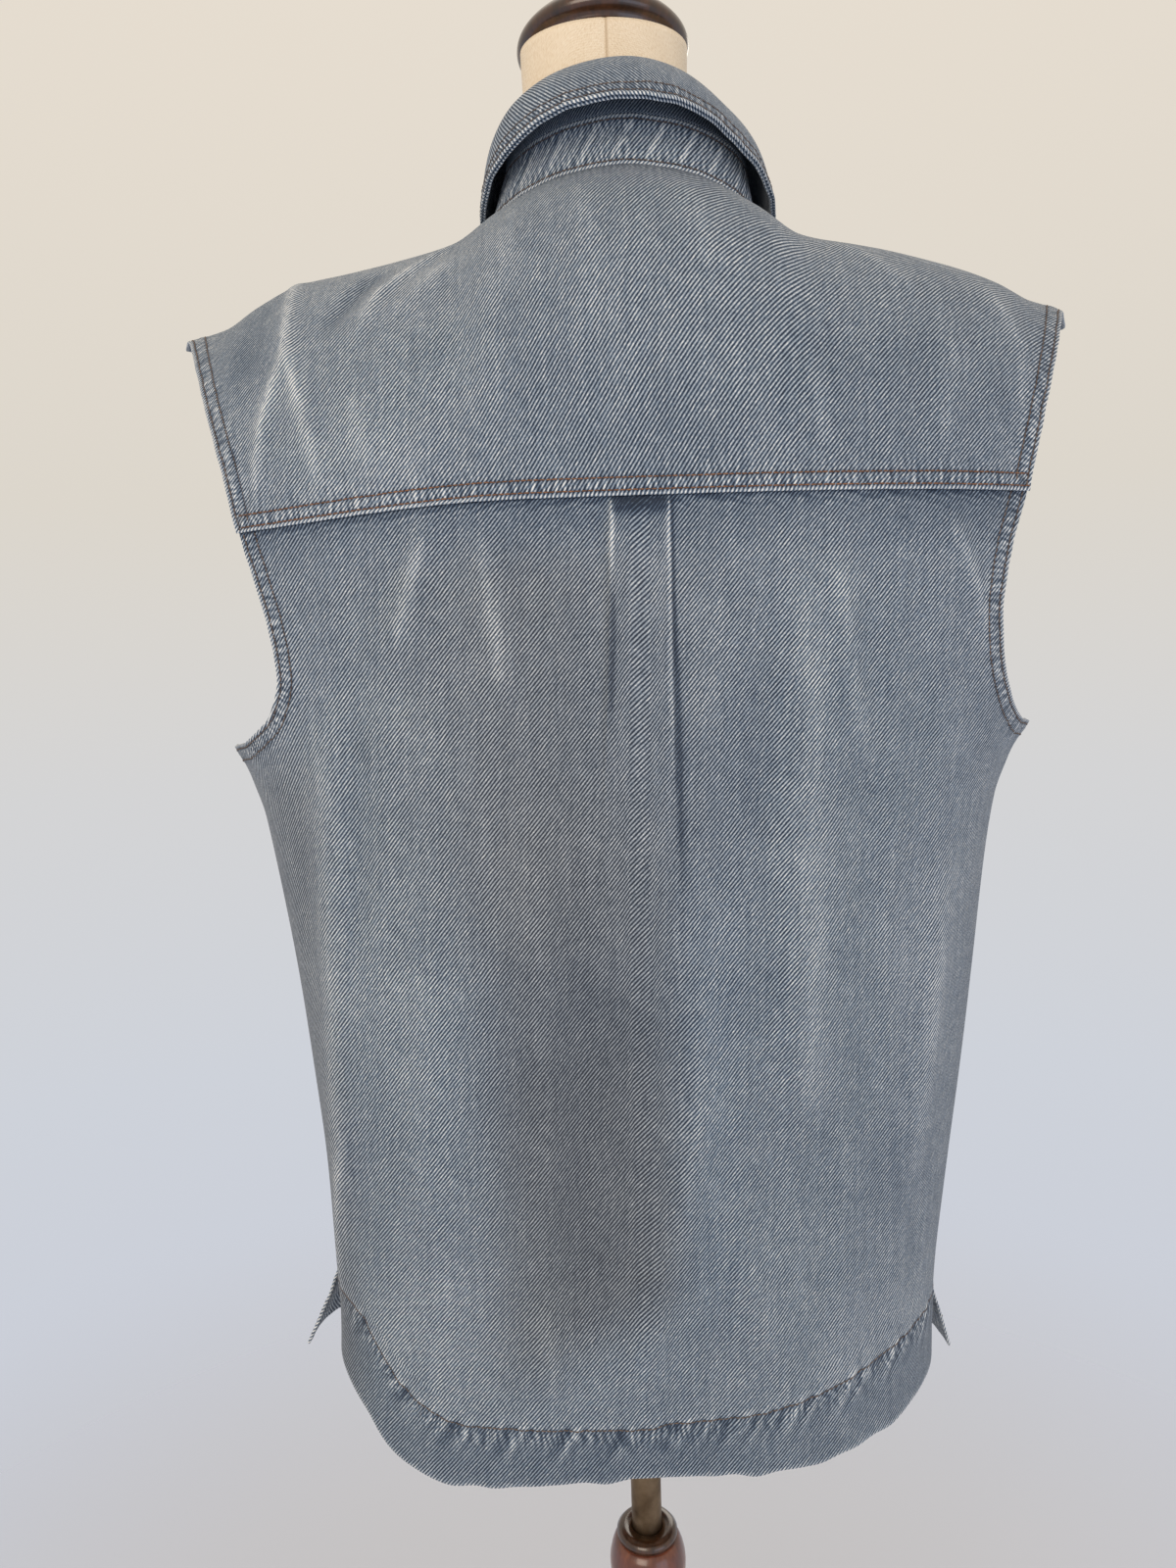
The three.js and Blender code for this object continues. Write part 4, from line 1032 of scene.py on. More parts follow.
def build_back():
    h, turn, x, spot, side, low, seam = back_grid()
    base = surface(1, side, turn, h)
    normals = surface_normal(1, side, turn, h)
    below, from_seam = yoke_edge(x) - h, h - seam
    rise, worn, dark = pleat_relief(x, h)
    folds, rubbed = crease_field(x, h, BACK_CREASES)
    from_side, _, _ = near_seam(base, [base[:, 0], base[:, -1]])
    rise = (rise + (folds + 0.8 * slow_waves(x, h, 3)) * ease(below / 14)) * ease(from_side / 26)
    pull = uneven(spot + 0.55 * from_seam, 11, 11)
    pull = pull * bell(np.minimum(from_seam + 5, 0), 12) * bell(np.maximum(from_seam, 0), 4)
    groove = bell(from_seam, 1.3)
    rise = rise + 0.6 * pull - 0.5 * groove + 0.35 * uneven(spot, 8, 13) * bell(below, 9)
    worn = worn + rubbed + 0.5 * bell(h - low, 1.8) + 0.26 * pull * (from_seam < 2)
    worn = worn + 0.25 * bell(from_seam - 2.2, 1.4)
    # Painted light and shade of the broad fields, then painted shade in the hem's stitch groove
    field_shade, grey = back_light_and_shade(x, h, below)
    dark = dark + field_shade + 0.6 * groove + 0.28 * (from_seam < 0) - 0.22 * pull
    # Painted shadow under the yoke's edge
    dark = dark + 0.55 * bell(below, 4) + 0.25 * bell(below, 22)
    gap = np.where(h <= ARMPIT_Z + JOIN_ROUND, SEAM_GAP / 2, 0)
    base[:, [0, -1], 1] += gap[:, [0, -1]]
    bulge = np.where(h < ARMPIT_Z + JOIN_ROUND + 1, 0.1, 1.0)
    bulge[0] = 1.0
    made = panel(
        "back_of_denim", "back_panel", base, normals, rise, spot,
        [(base[:, 0], ARMHOLE_THREAD), (base[:, -1], ARMHOLE_THREAD), (base[0], ())], worn, dark,
        pucker=0.9 * bell(from_seam + 4, 6) + 0.5 * bell(below - 2, 5), grey=grey, depth=0.4,
        warp=warp_length(1, h), thick=CLOTH + 0.6 * (1 - ease((h - low) / 4)), bulge=bulge,
    )
    made["arm_rows"] = h[:, 0] > ARMPIT_Z - 1
    return made


back = build_back()

# %% [markdown]
# The yoke is one piece over both shoulders. Flat, it is a wide shallow shape whose lower edge is
# straight and whose neck is scooped out. Its grid runs from that outline in to the neck, so its
# rows are parallel to the seams where the stitching needs them. It lies on the back's edge.

# %% The way over the shoulder
NECK_HALF = 80
NECK_BACK = 50
NECK_FRONT = -86
YOKE_FRONT_Y = SIDE_Y - 35
YOKE_CORNER_X = 215
CORNER_TURN = 0.75
YOKE_CORNER = 72
YOKE_MIDDLE = 221
FRONT_NECK_TURN = math.pi - math.acos((SIDE_Y - YOKE_FRONT_Y) / (SIDE_Y - NECK_FRONT))


def neck_plan(turn):
    """The neck opening in plan, from the centre line, by the turn round the neck."""
    size = np.abs(turn)
    behind = size < QUARTER
    power = np.where(behind, 2 / 2.5, 1.0)
    depth = np.where(behind, NECK_BACK, NECK_FRONT) - SIDE_Y
    x = np.sign(turn) * NECK_HALF * np.abs(np.sin(size)) ** power
    return x, SIDE_Y + depth * np.abs(np.cos(size)) ** power


def climb_over(face, x, y):
    turn = turn_for(face, x, CHEST_Z)
    across = depth_at(face, CHEST_Z) * np.cos(turn) ** (2 / roundness(face))
    return np.clip((y - SIDE_Y) / across, 0, 1)


def height_over(face, x, y):
    power = arch_roundness(face, x)
    rise = shoulder_z(x) - CHEST_Z
    return CHEST_Z + rise * (1 - climb_over(face, x, y) ** power) ** (1 / power)


def way_over(x, y):
    """The way over the shoulder: 0 on the chest line behind, ARCH on the shoulder line."""
    face = face_of(y)
    climb = ARCH * np.arccos(climb_over(face, x, y) ** (arch_roundness(face, x) / 2)) / QUARTER
    return np.where(face > 0, climb, 2 * ARCH - climb)


def over_way(way):
    """Face and height of a way over the shoulder."""
    return np.where(way <= ARCH, 1, -1), CHEST_Z + np.where(way <= ARCH, way, 2 * ARCH - way)


def front_seam(side):
    neck_x, neck_y = neck_plan(side * FRONT_NECK_TURN)
    way = way_over(side * edge_x(-1, side, RIDGE_H - 20), YOKE_FRONT_Y)
    x = side * edge_x(-1, side, CHEST_Z + 2 * ARCH - way)
    return float(neck_x), float(way_over(neck_x, neck_y)), float(x), float(way)


def front_seam_h(side, x):
    neck_x, neck_way, outer_x, outer_way = front_seam(side)
    way = neck_way + (outer_way - neck_way) * (x - neck_x) / (outer_x - neck_x)
    return CHEST_Z + 2 * ARCH - way


def yoke_columns():
    """Outer ends of the yoke's columns, as x and way, and the neck turn each one runs to."""
    steps = np.linspace(0, 1, YOKE_CORNER + 1) ** 1.1
    ends = []
    for side in (-1, 1):
        start = front_seam(side)[3]
        way = start + (yoke_edge(side * YOKE_CORNER_X) - CHEST_Z - start) * steps
        face, h = over_way(way)
        turn = side * (FRONT_NECK_TURN + (CORNER_TURN - FRONT_NECK_TURN) * steps)
        ends.append((turn, side * edge_x(face, side, h), way))
    share = np.linspace(0, 1, YOKE_MIDDLE)[1:-1]
    right, left = ends[0][1][-1], ends[1][1][-1]
    x = right + (left - right) * share
    middle = (-CORNER_TURN + 2 * CORNER_TURN * share, x, yoke_edge(x) - CHEST_Z)
    return [np.concatenate([a, b, c[::-1]]) for a, b, c in zip(ends[0], middle, ends[1])]


print("front yoke seam", [round(value) for value in front_seam(1)])

# %% [markdown]
# Seen flat, the warp runs straight up the back and over the shoulder, so the yoke's weave is measured
# from the same line as the back's. Across the chest the cloth curves away from the eye, and lengths
# on it are longer than in the view.

# %% The yoke
YOKE_OUT = SEAM_GAP + CLOTH
YOKE_ROWS = [0, 3, 17, 26, 78, 88]
YOKE_SHARES = [0, 0.012, 0.06, 0.12, 0.94, 1]
YOKE_THREAD = (2.0, 8.4)


def build_yoke():
    turn, outer_x, outer_way = yoke_columns()
    neck_x, neck_y = neck_plan(turn)
    share = np.interp(np.arange(YOKE_ROWS[-1] + 1), YOKE_ROWS, YOKE_SHARES)[:, None]
    x = outer_x + (neck_x - outer_x) * share
    way = outer_way + (way_over(neck_x, neck_y) - outer_way) * share
    face, h = over_way(way)
    side, turns = side_of(x), turn_for(face, x, h)
    normals = surface_normal(face, side, turns, h)
    base = surface(face, side, turns, h) + normals * YOKE_OUT
    folds, rubbed = crease_field(x, CHEST_Z + way, YOKE_CREASES)
    seams = [
        (base[0, YOKE_CORNER:-YOKE_CORNER], YOKE_THREAD),
        (base[0, : YOKE_CORNER + 1], ARMHOLE_THREAD),
        (base[0, -YOKE_CORNER - 1 :], ARMHOLE_THREAD),
        (base[:, 0], YOKE_THREAD),
        (base[:, -1], YOKE_THREAD),
        (base[-1], ()),
    ]
    distance, _, _ = near_seam(base, [line for line, _ in seams])
    rise = folds * ease(distance / 9) + 0.7 * ease(distance / 18) * slow_waves(x, way, 5)
    chest = surface(1, 1, TURNS, CHEST_Z)
    bent = np.sign(x) * np.interp(np.abs(x), chest[:, 0] - chest[0, 0], run_lengths(chest))
    across = x + (bent - x) * (1 - ease(np.abs(way) / ARCH))
    behind = warp_length(1, h)
    warp = np.where(face > 0, behind, 2 * warp_length(1, RIDGE_H) - behind)
    # Near the collar the yoke is painted with the collar's shade and wears less; painted light lifts it round
    # x 135
    neck = bell(np.linalg.norm(base - base[-1], axis=-1), 7)
    dark = 0.35 * neck - 0.14 * bell(x - 135, 52)
    return panel(
        "yoke_of_denim", "yoke", base, normals, rise, across, seams, rubbed - 0.1 * neck, dark,
        pucker=0.55 * bell(distance, 15), warp=warp, held="draped",
    )


yoke = build_yoke()

# %% [markdown]
# Each front runs from the side seam past the centre line, so that the left one laps over the
# right. The camera never sees them, but the part is looked at all round, so they get the same
# care: a swung hem, corners that kick out below the side vents, and long ridges of their own.

# %% The grid of a front
PLACKET_HALF = 15
FRONT_HEM_CURVE = curves(FRONT_HEM, "share")
VENT = {1: 783, -1: 768}
FLARE = {1: 26, -1: 18}
FLARE_HEIGHT = 70
FLAP_BACK = 0.4
FRONT_HALF_COLUMNS = [0, 8, 10, 68, 75, 80, 84, 87]
FRONT_ROWS = [0, 2, 14, 17, 91, 94, 110, 118, 160, 170]
FRONT_KEYS = [0, 14, 16, -26, -12, -7, -2.5]
LAP_COLUMNS = [0.5, 2, 4, 7, 11, 13, 14.2, 15]
HALVINGS = 24


def in_front_cloth(side, x, h):
    point = surface(-1, side_of(x), turn_for(-1, x, h), h)
    along = (point[..., 1] - SIDE_Y) / (NECK_FRONT - SIDE_Y)
    return (h < front_seam_h(side, x) - 2 * SEAM_GAP) & ((x / NECK_HALF) ** 2 + along**2 > 1)


def front_columns(side, h):
    """Positions across the front at one height: the lap past the centre, then out to the edge."""
    edge = float(edge_x(-1, side, h))
    turns, spots = spread_columns(-1, side, h, edge, FRONT_KEYS, FRONT_HALF_COLUMNS)
    lap = -np.array(LAP_COLUMNS[::-1])
    x = np.concatenate([side * lap, across_at(-1, side, turns, h)])
    return x, np.concatenate([lap, spots])


def front_tops(side, low_x):
    """Height at which each column meets the yoke's front seam or the neck, by halving."""
    tops = []
    for column in range(len(low_x)):
        bottom, high = float(CHEST_Z), float(RIDGE_H)
        for _ in range(HALVINGS):
            middle = (bottom + high) / 2
            x = front_columns(side, middle)[0][column] if column >= len(LAP_COLUMNS) else low_x[column]
            bottom, high = (middle, high) if in_front_cloth(side, x, middle) else (bottom, middle)
        tops.append(bottom)
    return np.array(tops)


def front_grid(side, out):
    low_x, _ = front_columns(side, TAIL_Z)
    share = np.clip((np.abs(low_x) - PLACKET_HALF) / (np.abs(low_x[-1]) - PLACKET_HALF), 0, 1)
    low, top = by_side(side, FRONT_HEM_CURVE, share), front_tops(side, low_x)
    marks = [low, low + 1.5, low + 20, low + 26]
    marks += [np.full(len(low_x), height) for height in ARMPIT_ROWS]
    h = rows_between(marks + [top - 14, top], FRONT_ROWS)
    x, spot = np.array([front_columns(side, float(height)) for height in h[:, -1]]).swapaxes(0, 1)
    turn = turn_for(-1, x, h)
    share = np.clip((np.abs(x) - PLACKET_HALF) / (edge_x(-1, side, h) - PLACKET_HALF), 0, 1) * (side * x > 0)
    spread = FLARE[side] * ease((share - 0.72) / 0.28) * np.clip((VENT[side] - h) / FLARE_HEIGHT, 0, 1)
    under = -(CLOTH + 2 * SEAM_GAP) * ease((x + 34) / 14) if side < 0 else 0 * x
    normals = surface_normal(-1, side_of(x), turn, h)
    base = surface(-1, side_of(x), turn, h) + normals * (out + under + spread)[..., None]
    base[..., 1] += FLAP_BACK * spread
    return base, normals, x, h, spot


print("front columns", len(LAP_COLUMNS) + FRONT_HALF_COLUMNS[-1] + 1)

# %% [markdown]
# The placket is a strip folded under at both long edges and sewn down over the left front's edge. It
# takes the front's own grid near the centre line, one layer of cloth further out.

# %% The fronts and the placket
VENT_THREAD = (2.4, 9.0)
FRONT_HEM_THREAD = (2.2, 20.0)
PLACKET_THREAD = (2.2,)


def build_front(side):
    base, normals, x, h, spot = front_grid(side, 0.0)
    base[:, -1, 1] -= np.where(h[:, -1] <= ARMPIT_Z + JOIN_ROUND, SEAM_GAP / 2, 0)
    arm = h[:, -1] > ARMPIT_Z - 1
    vent = h[:, -1] < VENT[side]
    seams = [
        (base[arm, -1], ARMHOLE_THREAD),
        (base[~arm & ~vent, -1], ()),
        (base[vent, -1], VENT_THREAD),
        (base[0], FRONT_HEM_THREAD),
        (base[-1], ()),
        (base[:, 0], ()),
    ]
    distance, _, _ = near_seam(base, [line for line, _ in seams])
    folds, rubbed = crease_field(x, h, FRONT_CREASES)
    calm = ease(distance / 24) * ease((np.abs(x) - PLACKET_HALF) / 20)
    rise = calm * (folds + 0.8 * slow_waves(x, h, 8 + side))
    bulge = np.where((h < ARMPIT_Z + JOIN_ROUND + 1) & (h > VENT[side]), 0.1, 1.0)
    bulge[0] = 1.0
    node = "front_left" if side > 0 else "front_right"
    made = panel(
        node + "_of_denim", node, base, normals, rise, -side * spot, seams, rubbed,
        warp=warp_length(-1, h), bulge=bulge, flip=side > 0,
    )
    made["arm"], made["vent"] = arm, vent
    return made


def build_placket():
    keep = slice(0, len(LAP_COLUMNS) + FRONT_HALF_COLUMNS[1] + 1)
    base, normals, x, h, spot = [part[:, keep] for part in front_grid(1, SEAM_GAP + CLOTH)]
    seams = [(base[:, 0], PLACKET_THREAD), (base[:, -1], PLACKET_THREAD), (base[0], ()), (base[-1], ())]
    rise = 0.25 * slow_waves(x, h, 9)
    return panel(
        "placket_of_denim", "placket", base, normals, rise, -spot, seams, warp=warp_length(-1, h), flip=True
    )


front_left = build_front(1)
front_right = build_front(-1)
placket = build_placket()

# %% [markdown]
# The collar is two pieces: a stand that is sewn round the neck, and a leaf that is sewn to the top of
# the stand, rolls over and falls. Both are double cloth, and the leaf's edge shows its two layers.
# The leaf stands away from the neck here, so its own section curve is drawn at every step round it.

# %% The collar's sizes
COLLAR = table(
    "turn lean crest_out crest_up edge_out edge_clear",
    (-180, 3, 3, 33, 27, 5),
    (-150, 4, 2, 36, 40, 5),
    (-120, 5, 2, 42, 26, 6),
    (-90, 5, -4, 45, 11, 12),
    (-45, 4, -9, 50, 11, 28),
    (0, 3, -4, 57, 23, 48),
    (45, 6, -6, 55, 11, 29),
    (90, 10, -10, 48, 4, 7),
    (120, 8, -4, 44, 20, 6),
    (150, 5, 0, 37, 38, 5),
    (180, 3, 3, 33, 27, 5),
)
STAND_HEIGHT = 28
STAND_SLANT, STAND_PUCKER = 16, 6.5
FRONT_NECK_LIFT = 0.8
COLLAR_RIGHT_END = -math.pi + math.asin((PLACKET_HALF - 1) / NECK_HALF)
COLLAR_LEFT_END = math.pi + math.asin((PLACKET_HALF - 1) / NECK_HALF) - 0.01
COLLAR_CURVE = curves(COLLAR, "turn")
LEAF_THREAD = (2.2, 8.2)
STAND_FOOT_THREAD, STAND_TOP_THREAD = (2.2,), (2.6,)
STAND_LEVELS = [0, 0.03, 0.07, 0.11, 0.15, 0.22, 0.33, 0.45, 0.58, 0.7, 0.8, 0.86, 0.9, 0.94, 0.97, 1]
COLLAR_STEPS = 301
LEAF_START, LEAF_END = 0.12, 0.24
LEAF_ROWS = 46


def wrap(turn):
    return np.where(turn > math.pi, turn - 2 * math.pi, turn)


def neck_seam(turn):
    """Points of the cloth at the neck opening, and the way straight out from each."""
    x, y = neck_plan(turn)
    ahead, behind = neck_plan(turn + 0.02), neck_plan(turn - 0.02)
    outward = unit(np.stack([-(ahead[1] - behind[1]), ahead[0] - behind[0], 0 * x], -1))
    outward *= np.where(outward[..., 0] * x + outward[..., 1] * (y - SIDE_Y) < 0, -1, 1)[..., None]
    past_yoke = ease((np.abs(turn) - FRONT_NECK_TURN) / 0.2)
    face, h = over_way(way_over(x, y))
    out = 2 * SEAM_GAP + CLOTH + FRONT_NECK_LIFT * past_yoke
    return on_cloth(face, x, h, out), outward


print("neck seam behind", neck_seam(np.array([0.0]))[0][0].round(1))

# %% [markdown]
# The stand is a narrow strip that leans in towards the neck. Washing has shrunk its thread more than
# its cloth, so short slanting puckers run up it.

# %% The collar stand


def section_curve(corners, rows):
    """A centripetal curve through each section's five corners, and its direction, at every row."""
    first = 2 * corners[:, :1] - corners[:, 1:2]
    last = 2 * corners[:, -1:] - corners[:, -2:-1]
    points = np.concatenate([first, corners, last], 1)
    place = np.linspace(0, corners.shape[1] - 1, rows)
    piece = np.minimum(place.astype(int), corners.shape[1] - 2)
    t = (place - piece)[None, :, None]
    p0, p1, p2, p3 = [points[:, piece + k] for k in range(4)]
    pairs = ((p0, p1), (p1, p2), (p2, p3))
    d0, d1, d2 = [np.linalg.norm(b - a, axis=-1, keepdims=True) ** 0.5 for a, b in pairs]
    start = ((p1 - p0) / d0 - (p2 - p0) / (d0 + d1) + (p2 - p1) / d1) * d1
    end = ((p2 - p1) / d1 - (p3 - p1) / (d1 + d2) + (p3 - p2) / d2) * d1
    c2, c3 = -3 * p1 + 3 * p2 - 2 * start - end, 2 * p1 - 2 * p2 + start + end
    return p1 + start * t + c2 * t**2 + c3 * t**3, unit(start + 2 * c2 * t + 3 * c3 * t**2)


def build_stand():
    turns = wrap(np.linspace(COLLAR_RIGHT_END, COLLAR_LEFT_END, COLLAR_STEPS))
    point, outward = neck_seam(turns)
    level = np.array(STAND_LEVELS)[:, None]
    base = point - outward * (COLLAR_CURVE["lean"](np.degrees(turns)) * level)[..., None]
    base[..., 2] += STAND_HEIGHT * level
    normals = np.broadcast_to(outward, base.shape)
    across = np.broadcast_to(lengths_along(base[:1], 1), base.shape[:2])
    middle = np.sin(level * math.pi)
    slant = uneven(across + STAND_SLANT * level, STAND_PUCKER, 33) * ease(1.6 * middle)
    rise = 0.35 * uneven(across, 37, 21) * middle + 0.35 * slant
    # The whole stand is lifted a little by painted light against the leaf's shade, and the ridges of its
    # puckers rub pale
    return panel(
        "collar_stand_of_denim", "collar_stand", base, normals, rise, across,
        [(base[0], STAND_FOOT_THREAD), (base[-1], STAND_TOP_THREAD)],
        0.22 * slant + 0.4 * bell(level - 0.97, 0.05), -0.1 - 0.25 * slant,
        depth=0.45, thick=DOUBLE_CLOTH, bulge=0.2,
    )


stand = build_stand()

# %% [markdown]
# The leaf's section climbs from the top of the stand to a crest, rolls over it and falls outwards.
# Five corners give each section, and a smooth curve runs through them.

# %% The collar leaf


def leaf_sections(point, outward, turns):
    """Sections of the leaf as distance out and height up from the neck seam, at every row."""
    at = {name: curve(np.degrees(turns)) for name, curve in COLLAR_CURVE.items()}
    plan_x, plan_y = neck_plan(turns)
    plan_x, plan_y = plan_x + outward[:, 0] * at["edge_out"], plan_y + outward[:, 1] * at["edge_out"]
    edge_up = height_over(face_of(plan_y), plan_x, plan_y) + at["edge_clear"] - point[:, 2]
    stem = -at["lean"] - DOUBLE_CLOTH / 2
    out, up = at["crest_out"], at["crest_up"]
    corners = [
        (stem, STAND_HEIGHT + 4 * SEAM_GAP + 0 * stem),
        (stem + 0.7 * (out - 4 - stem), STAND_HEIGHT + 0.55 * (up - STAND_HEIGHT)),
        (out, up),
        (out + 0.4 * (at["edge_out"] - out) + 2.5, up + 0.3 * (edge_up - up)),
        (at["edge_out"], edge_up),
    ]
    sections = section_curve(np.stack([np.stack(pair, -1) for pair in corners], 1), LEAF_ROWS)
    return [part.swapaxes(0, 1) for part in sections]


def build_leaf():
    turns = wrap(np.linspace(COLLAR_RIGHT_END + LEAF_START, COLLAR_LEFT_END - LEAF_END, COLLAR_STEPS))
    point, outward = neck_seam(turns)
    section, slope = leaf_sections(point, outward, turns)
    facing = np.stack([-slope[..., 1], slope[..., 0]], -1)
    section = section + facing * DOUBLE_CLOTH / 2
    base = point + outward * section[..., :1]
    base[..., 2] += section[..., 1]
    normals = outward * facing[..., :1] + np.array([0, 0, 1]) * facing[..., 1:]
    across = np.broadcast_to(lengths_along(base[-1:], 1), base.shape[:2])
    from_edge = lengths_along(base[::-1], 0)[::-1]
    rise = 0.5 * uneven(across + 0.3 * from_edge, 47, 23) * ease(from_edge / 8) * ease(1 - from_edge / 40)
    seams = [(line, LEAF_THREAD) for line in (base[-1], base[:, 0], base[:, -1])] + [(base[0], ())]
    return panel(
        "collar_leaf_of_denim", "collar_leaf", base, normals, rise, across, seams, 0.0, 0.06,
        depth=0.45, thick=DOUBLE_CLOTH + 1.1 * bell(from_edge, 3), edge=TWO_LAYER_EDGE, flip=True,
    )


leaf = build_leaf()

# %% [markdown]
# The form is a padded torso covered in plain unbleached cotton, with a seam down its back. Only
# its neck shows. It is made from rings, like a loft: superellipses that turn into round ones at the
# neck. The rings of the shoulders follow the underside of the vest.

# %% Rings of the dress form
FORM_BODY = table(
    "z half back front",
    (735, 150, 70, 92),
    (790, 163, 79, 100),
    (850, 165, 82, 102),
    (930, 152, 76, 98),
    (1010, 134, 68, 92),
    (1080, 142, 74, 100),
    (1170, 160, 86, 116),
    (1240, 174, 92, 112),
    (1300, 188, 90, 104),
)
FORM_NECK = table(
    "z half back front",
    (1448, 58, 34, 76),
    (1470, 53, 30, 74),
    (1500, 50, 26, 74),
    (1540, 51, 26, 76),
)
FORM_CHEST = (196, 86, -98)
FORM_NECK_BASE = (64, 38, -76)
FORM_BOTTOM = 735
FORM_TOP = 1540
FORM_SHOULDER = 165
FORM_ROUNDING = 33
FORM_CLEAR = 0.5
RING = 144


def form_shoulder_z(x, y):
    face = face_of(y)
    from_centre = x - centre_x(RIDGE_H)
    past = np.clip(np.abs(x) - FORM_SHOULDER, 0, FORM_ROUNDING)
    rounding = FORM_ROUNDING - np.sqrt(FORM_ROUNDING**2 - past**2)
    easing = np.where(face > 0, 12, 26) * climb_over(face, from_centre, y)
    return height_over(face, from_centre, y) - FORM_CLEAR - easing - rounding


def ellipse_ring(half, back, front, power):
    turn = 2 * math.pi * np.arange(RING) / RING
    x = half * np.sign(np.sin(turn)) * np.abs(np.sin(turn)) ** (2 / power)
    depth = np.where(np.cos(turn) > 0, back - SIDE_Y, front - SIDE_Y)
    return x, SIDE_Y + depth * np.abs(np.cos(turn)) ** (2 / power)


def round_mesh(name, rings, node, body, finish, caps=True):
    """A closed smooth mesh from rings of points, with the length round and up it as its map."""
    rings = np.asarray(rings, float)
    levels, count = rings.shape[:2]
    index = np.arange(levels * count).reshape(levels, count)
    following = np.roll(index, -1, axis=1)
    quads = np.stack([index[:-1], following[:-1], following[1:], index[1:]], -1).reshape(-1, 4).tolist()
    if caps:
        quads += [index[0][::-1].tolist(), index[-1].tolist()]
    mesh = bpy.data.meshes.new(name)
    mesh.from_pydata(to_metres(rings.reshape(-1, 3)).tolist(), [], quads)
    bm = bmesh.new()
    bm.from_mesh(mesh)
    bmesh.ops.recalc_face_normals(bm, faces=bm.faces)
    bm.to_mesh(mesh)
    bm.free()
    around = np.linalg.norm(rings - np.roll(rings, 1, axis=1), axis=-1)
    around = np.cumsum(around, axis=1) - around[:, :1]
    placed = at_corners(mesh, np.stack([around, lengths_along(rings, 0)], -1).reshape(-1, 2) * MM)
    total = float(around.max() * MM * (1 + 1 / count))
    for face in range((levels - 1) * count):
        run = placed[4 * face : 4 * face + 4, 0]
        if run.max() - run.min() > total / 2:
            run[run < total / 4] += total
    add_map(mesh, "weave", placed)
    print(name, "faces", len(mesh.polygons))
    return new_piece(name, mesh, finish, body, node)


print("form from", FORM_BOTTOM, "to", FORM_TOP)

# %% [markdown]
# The torso narrows at its waist, widens to the chest and closes over the shoulders under the vest,
# then a short neck leaves it. The seam down its back is a shallow groove.

# %% The dress form
FORM_FOOT = [735, 737, 741, 748, 756, *np.linspace(765, 1300, 60)]
FORM_TUCK, FORM_TUCK_HEIGHT = 0.05, 14
BODY_ROUND, SHOULDER_ROUND, NECK_ROUND = 2.3, 2.5, 2.1
SHOULDER_RINGS = np.linspace(0, 1, 40) ** 0.9
NECK_FOOT, NECK_BLEND = 1440, 50
NECK_LEVELS = [1448, 1453, 1458, *np.linspace(1464, FORM_TOP, 24)]
SEAM_WIDTH, SEAM_DEEP = 1.1, 0.5
FORM_COTTON, WALNUT, MAHOGANY, BRONZE, BRASS, TOBACCO_THREAD, GREY_THREAD = [
    bpy.data.materials.new(name)
    for name in ("unbleached_cotton", "oiled_walnut", "varnished_mahogany", "antique_bronze",
                 "antique_brass", "tobacco_cotton_thread", "faded_brown_thread")
]


def build_form():
    body, neck = curves(FORM_BODY, "z"), curves(FORM_NECK, "z")
    rings = []
    for z in FORM_FOOT:
        tuck = 1 - FORM_TUCK * (1 - ease((z - FORM_BOTTOM) / FORM_TUCK_HEIGHT))
        half, back_y, front_y = [body[name](z) * tuck for name in ("half", "back", "front")]
        x, y = ellipse_ring(half, back_y, -front_y, BODY_ROUND)
        rings.append(np.stack([x, y, 0 * x + z], -1))
    for t in SHOULDER_RINGS:
        half, back_y, front_y = [a + (b - a) * t for a, b in zip(FORM_CHEST, FORM_NECK_BASE)]
        x, y = ellipse_ring(half, back_y, front_y, SHOULDER_ROUND + (NECK_ROUND - SHOULDER_ROUND) * t)
        rings.append(np.stack([x, y, form_shoulder_z(x, y)], -1))
    base = rings[-1][:, 2]
    for z in NECK_LEVELS:
        x, y = ellipse_ring(neck["half"](z), neck["back"](z), -neck["front"](z), 2)
        level = ease((z - NECK_FOOT) / NECK_BLEND)
        rings.append(np.stack([x, y, (base + 0.7 * (z - NECK_FOOT)) * (1 - level) + z * level], -1))
    rings = np.array(rings)
    rings[..., 1] -= SEAM_DEEP * bell(rings[..., 0], SEAM_WIDTH) * (rings[..., 1] > SIDE_Y)
    round_mesh("cotton_torso", rings, "form_torso", "form", FORM_COTTON)


build_form()

# %% [markdown]
# The cap, the bushing, the post and the pole are turned: a profile spun round an axis. A
# lathe leaves soft corners, so the cap's profile is rounded by cutting its corners twice and the
# post's once, which is the simplest of the subdivision curves.

# %% Turned pieces
CAP = [(0.1, 0), (48, 0), (49, 4), (53, 6.5), (54, 10), (52.5, 14), (45, 21), (30, 29), (14, 33), (0.1, 34)]
BUSHING = [(10.7, 0), (20.5, 0), (20.5, 3), (18, 5.7), (10.7, 5.7)]
POST = [
    (0.1, 122), (14, 124), (24, 136), (22, 150), (32, 158), (32, 250), (24, 258), (27, 268), (20, 284),
    (17.5, 320), (19, 380), (22, 440), (23, 480), (17, 510), (15.5, 522), (21, 534), (25.5, 549),
    (26, 561), (24, 570), (20.5, 577), (10.7, 577), (10.7, 300), (0.1, 300),
]
POLE = [(0.1, 360), (9.2, 360), (10.2, 361), (10.2, 733.7), (9.2, 734.7), (0.1, 734.7)]
NECK_AXIS_Y = -25
POST_TOP = 577
HARD_CUT = 2.0
POST_HARD = (4, 5, 20, 21)
LATHE_STEPS = 96


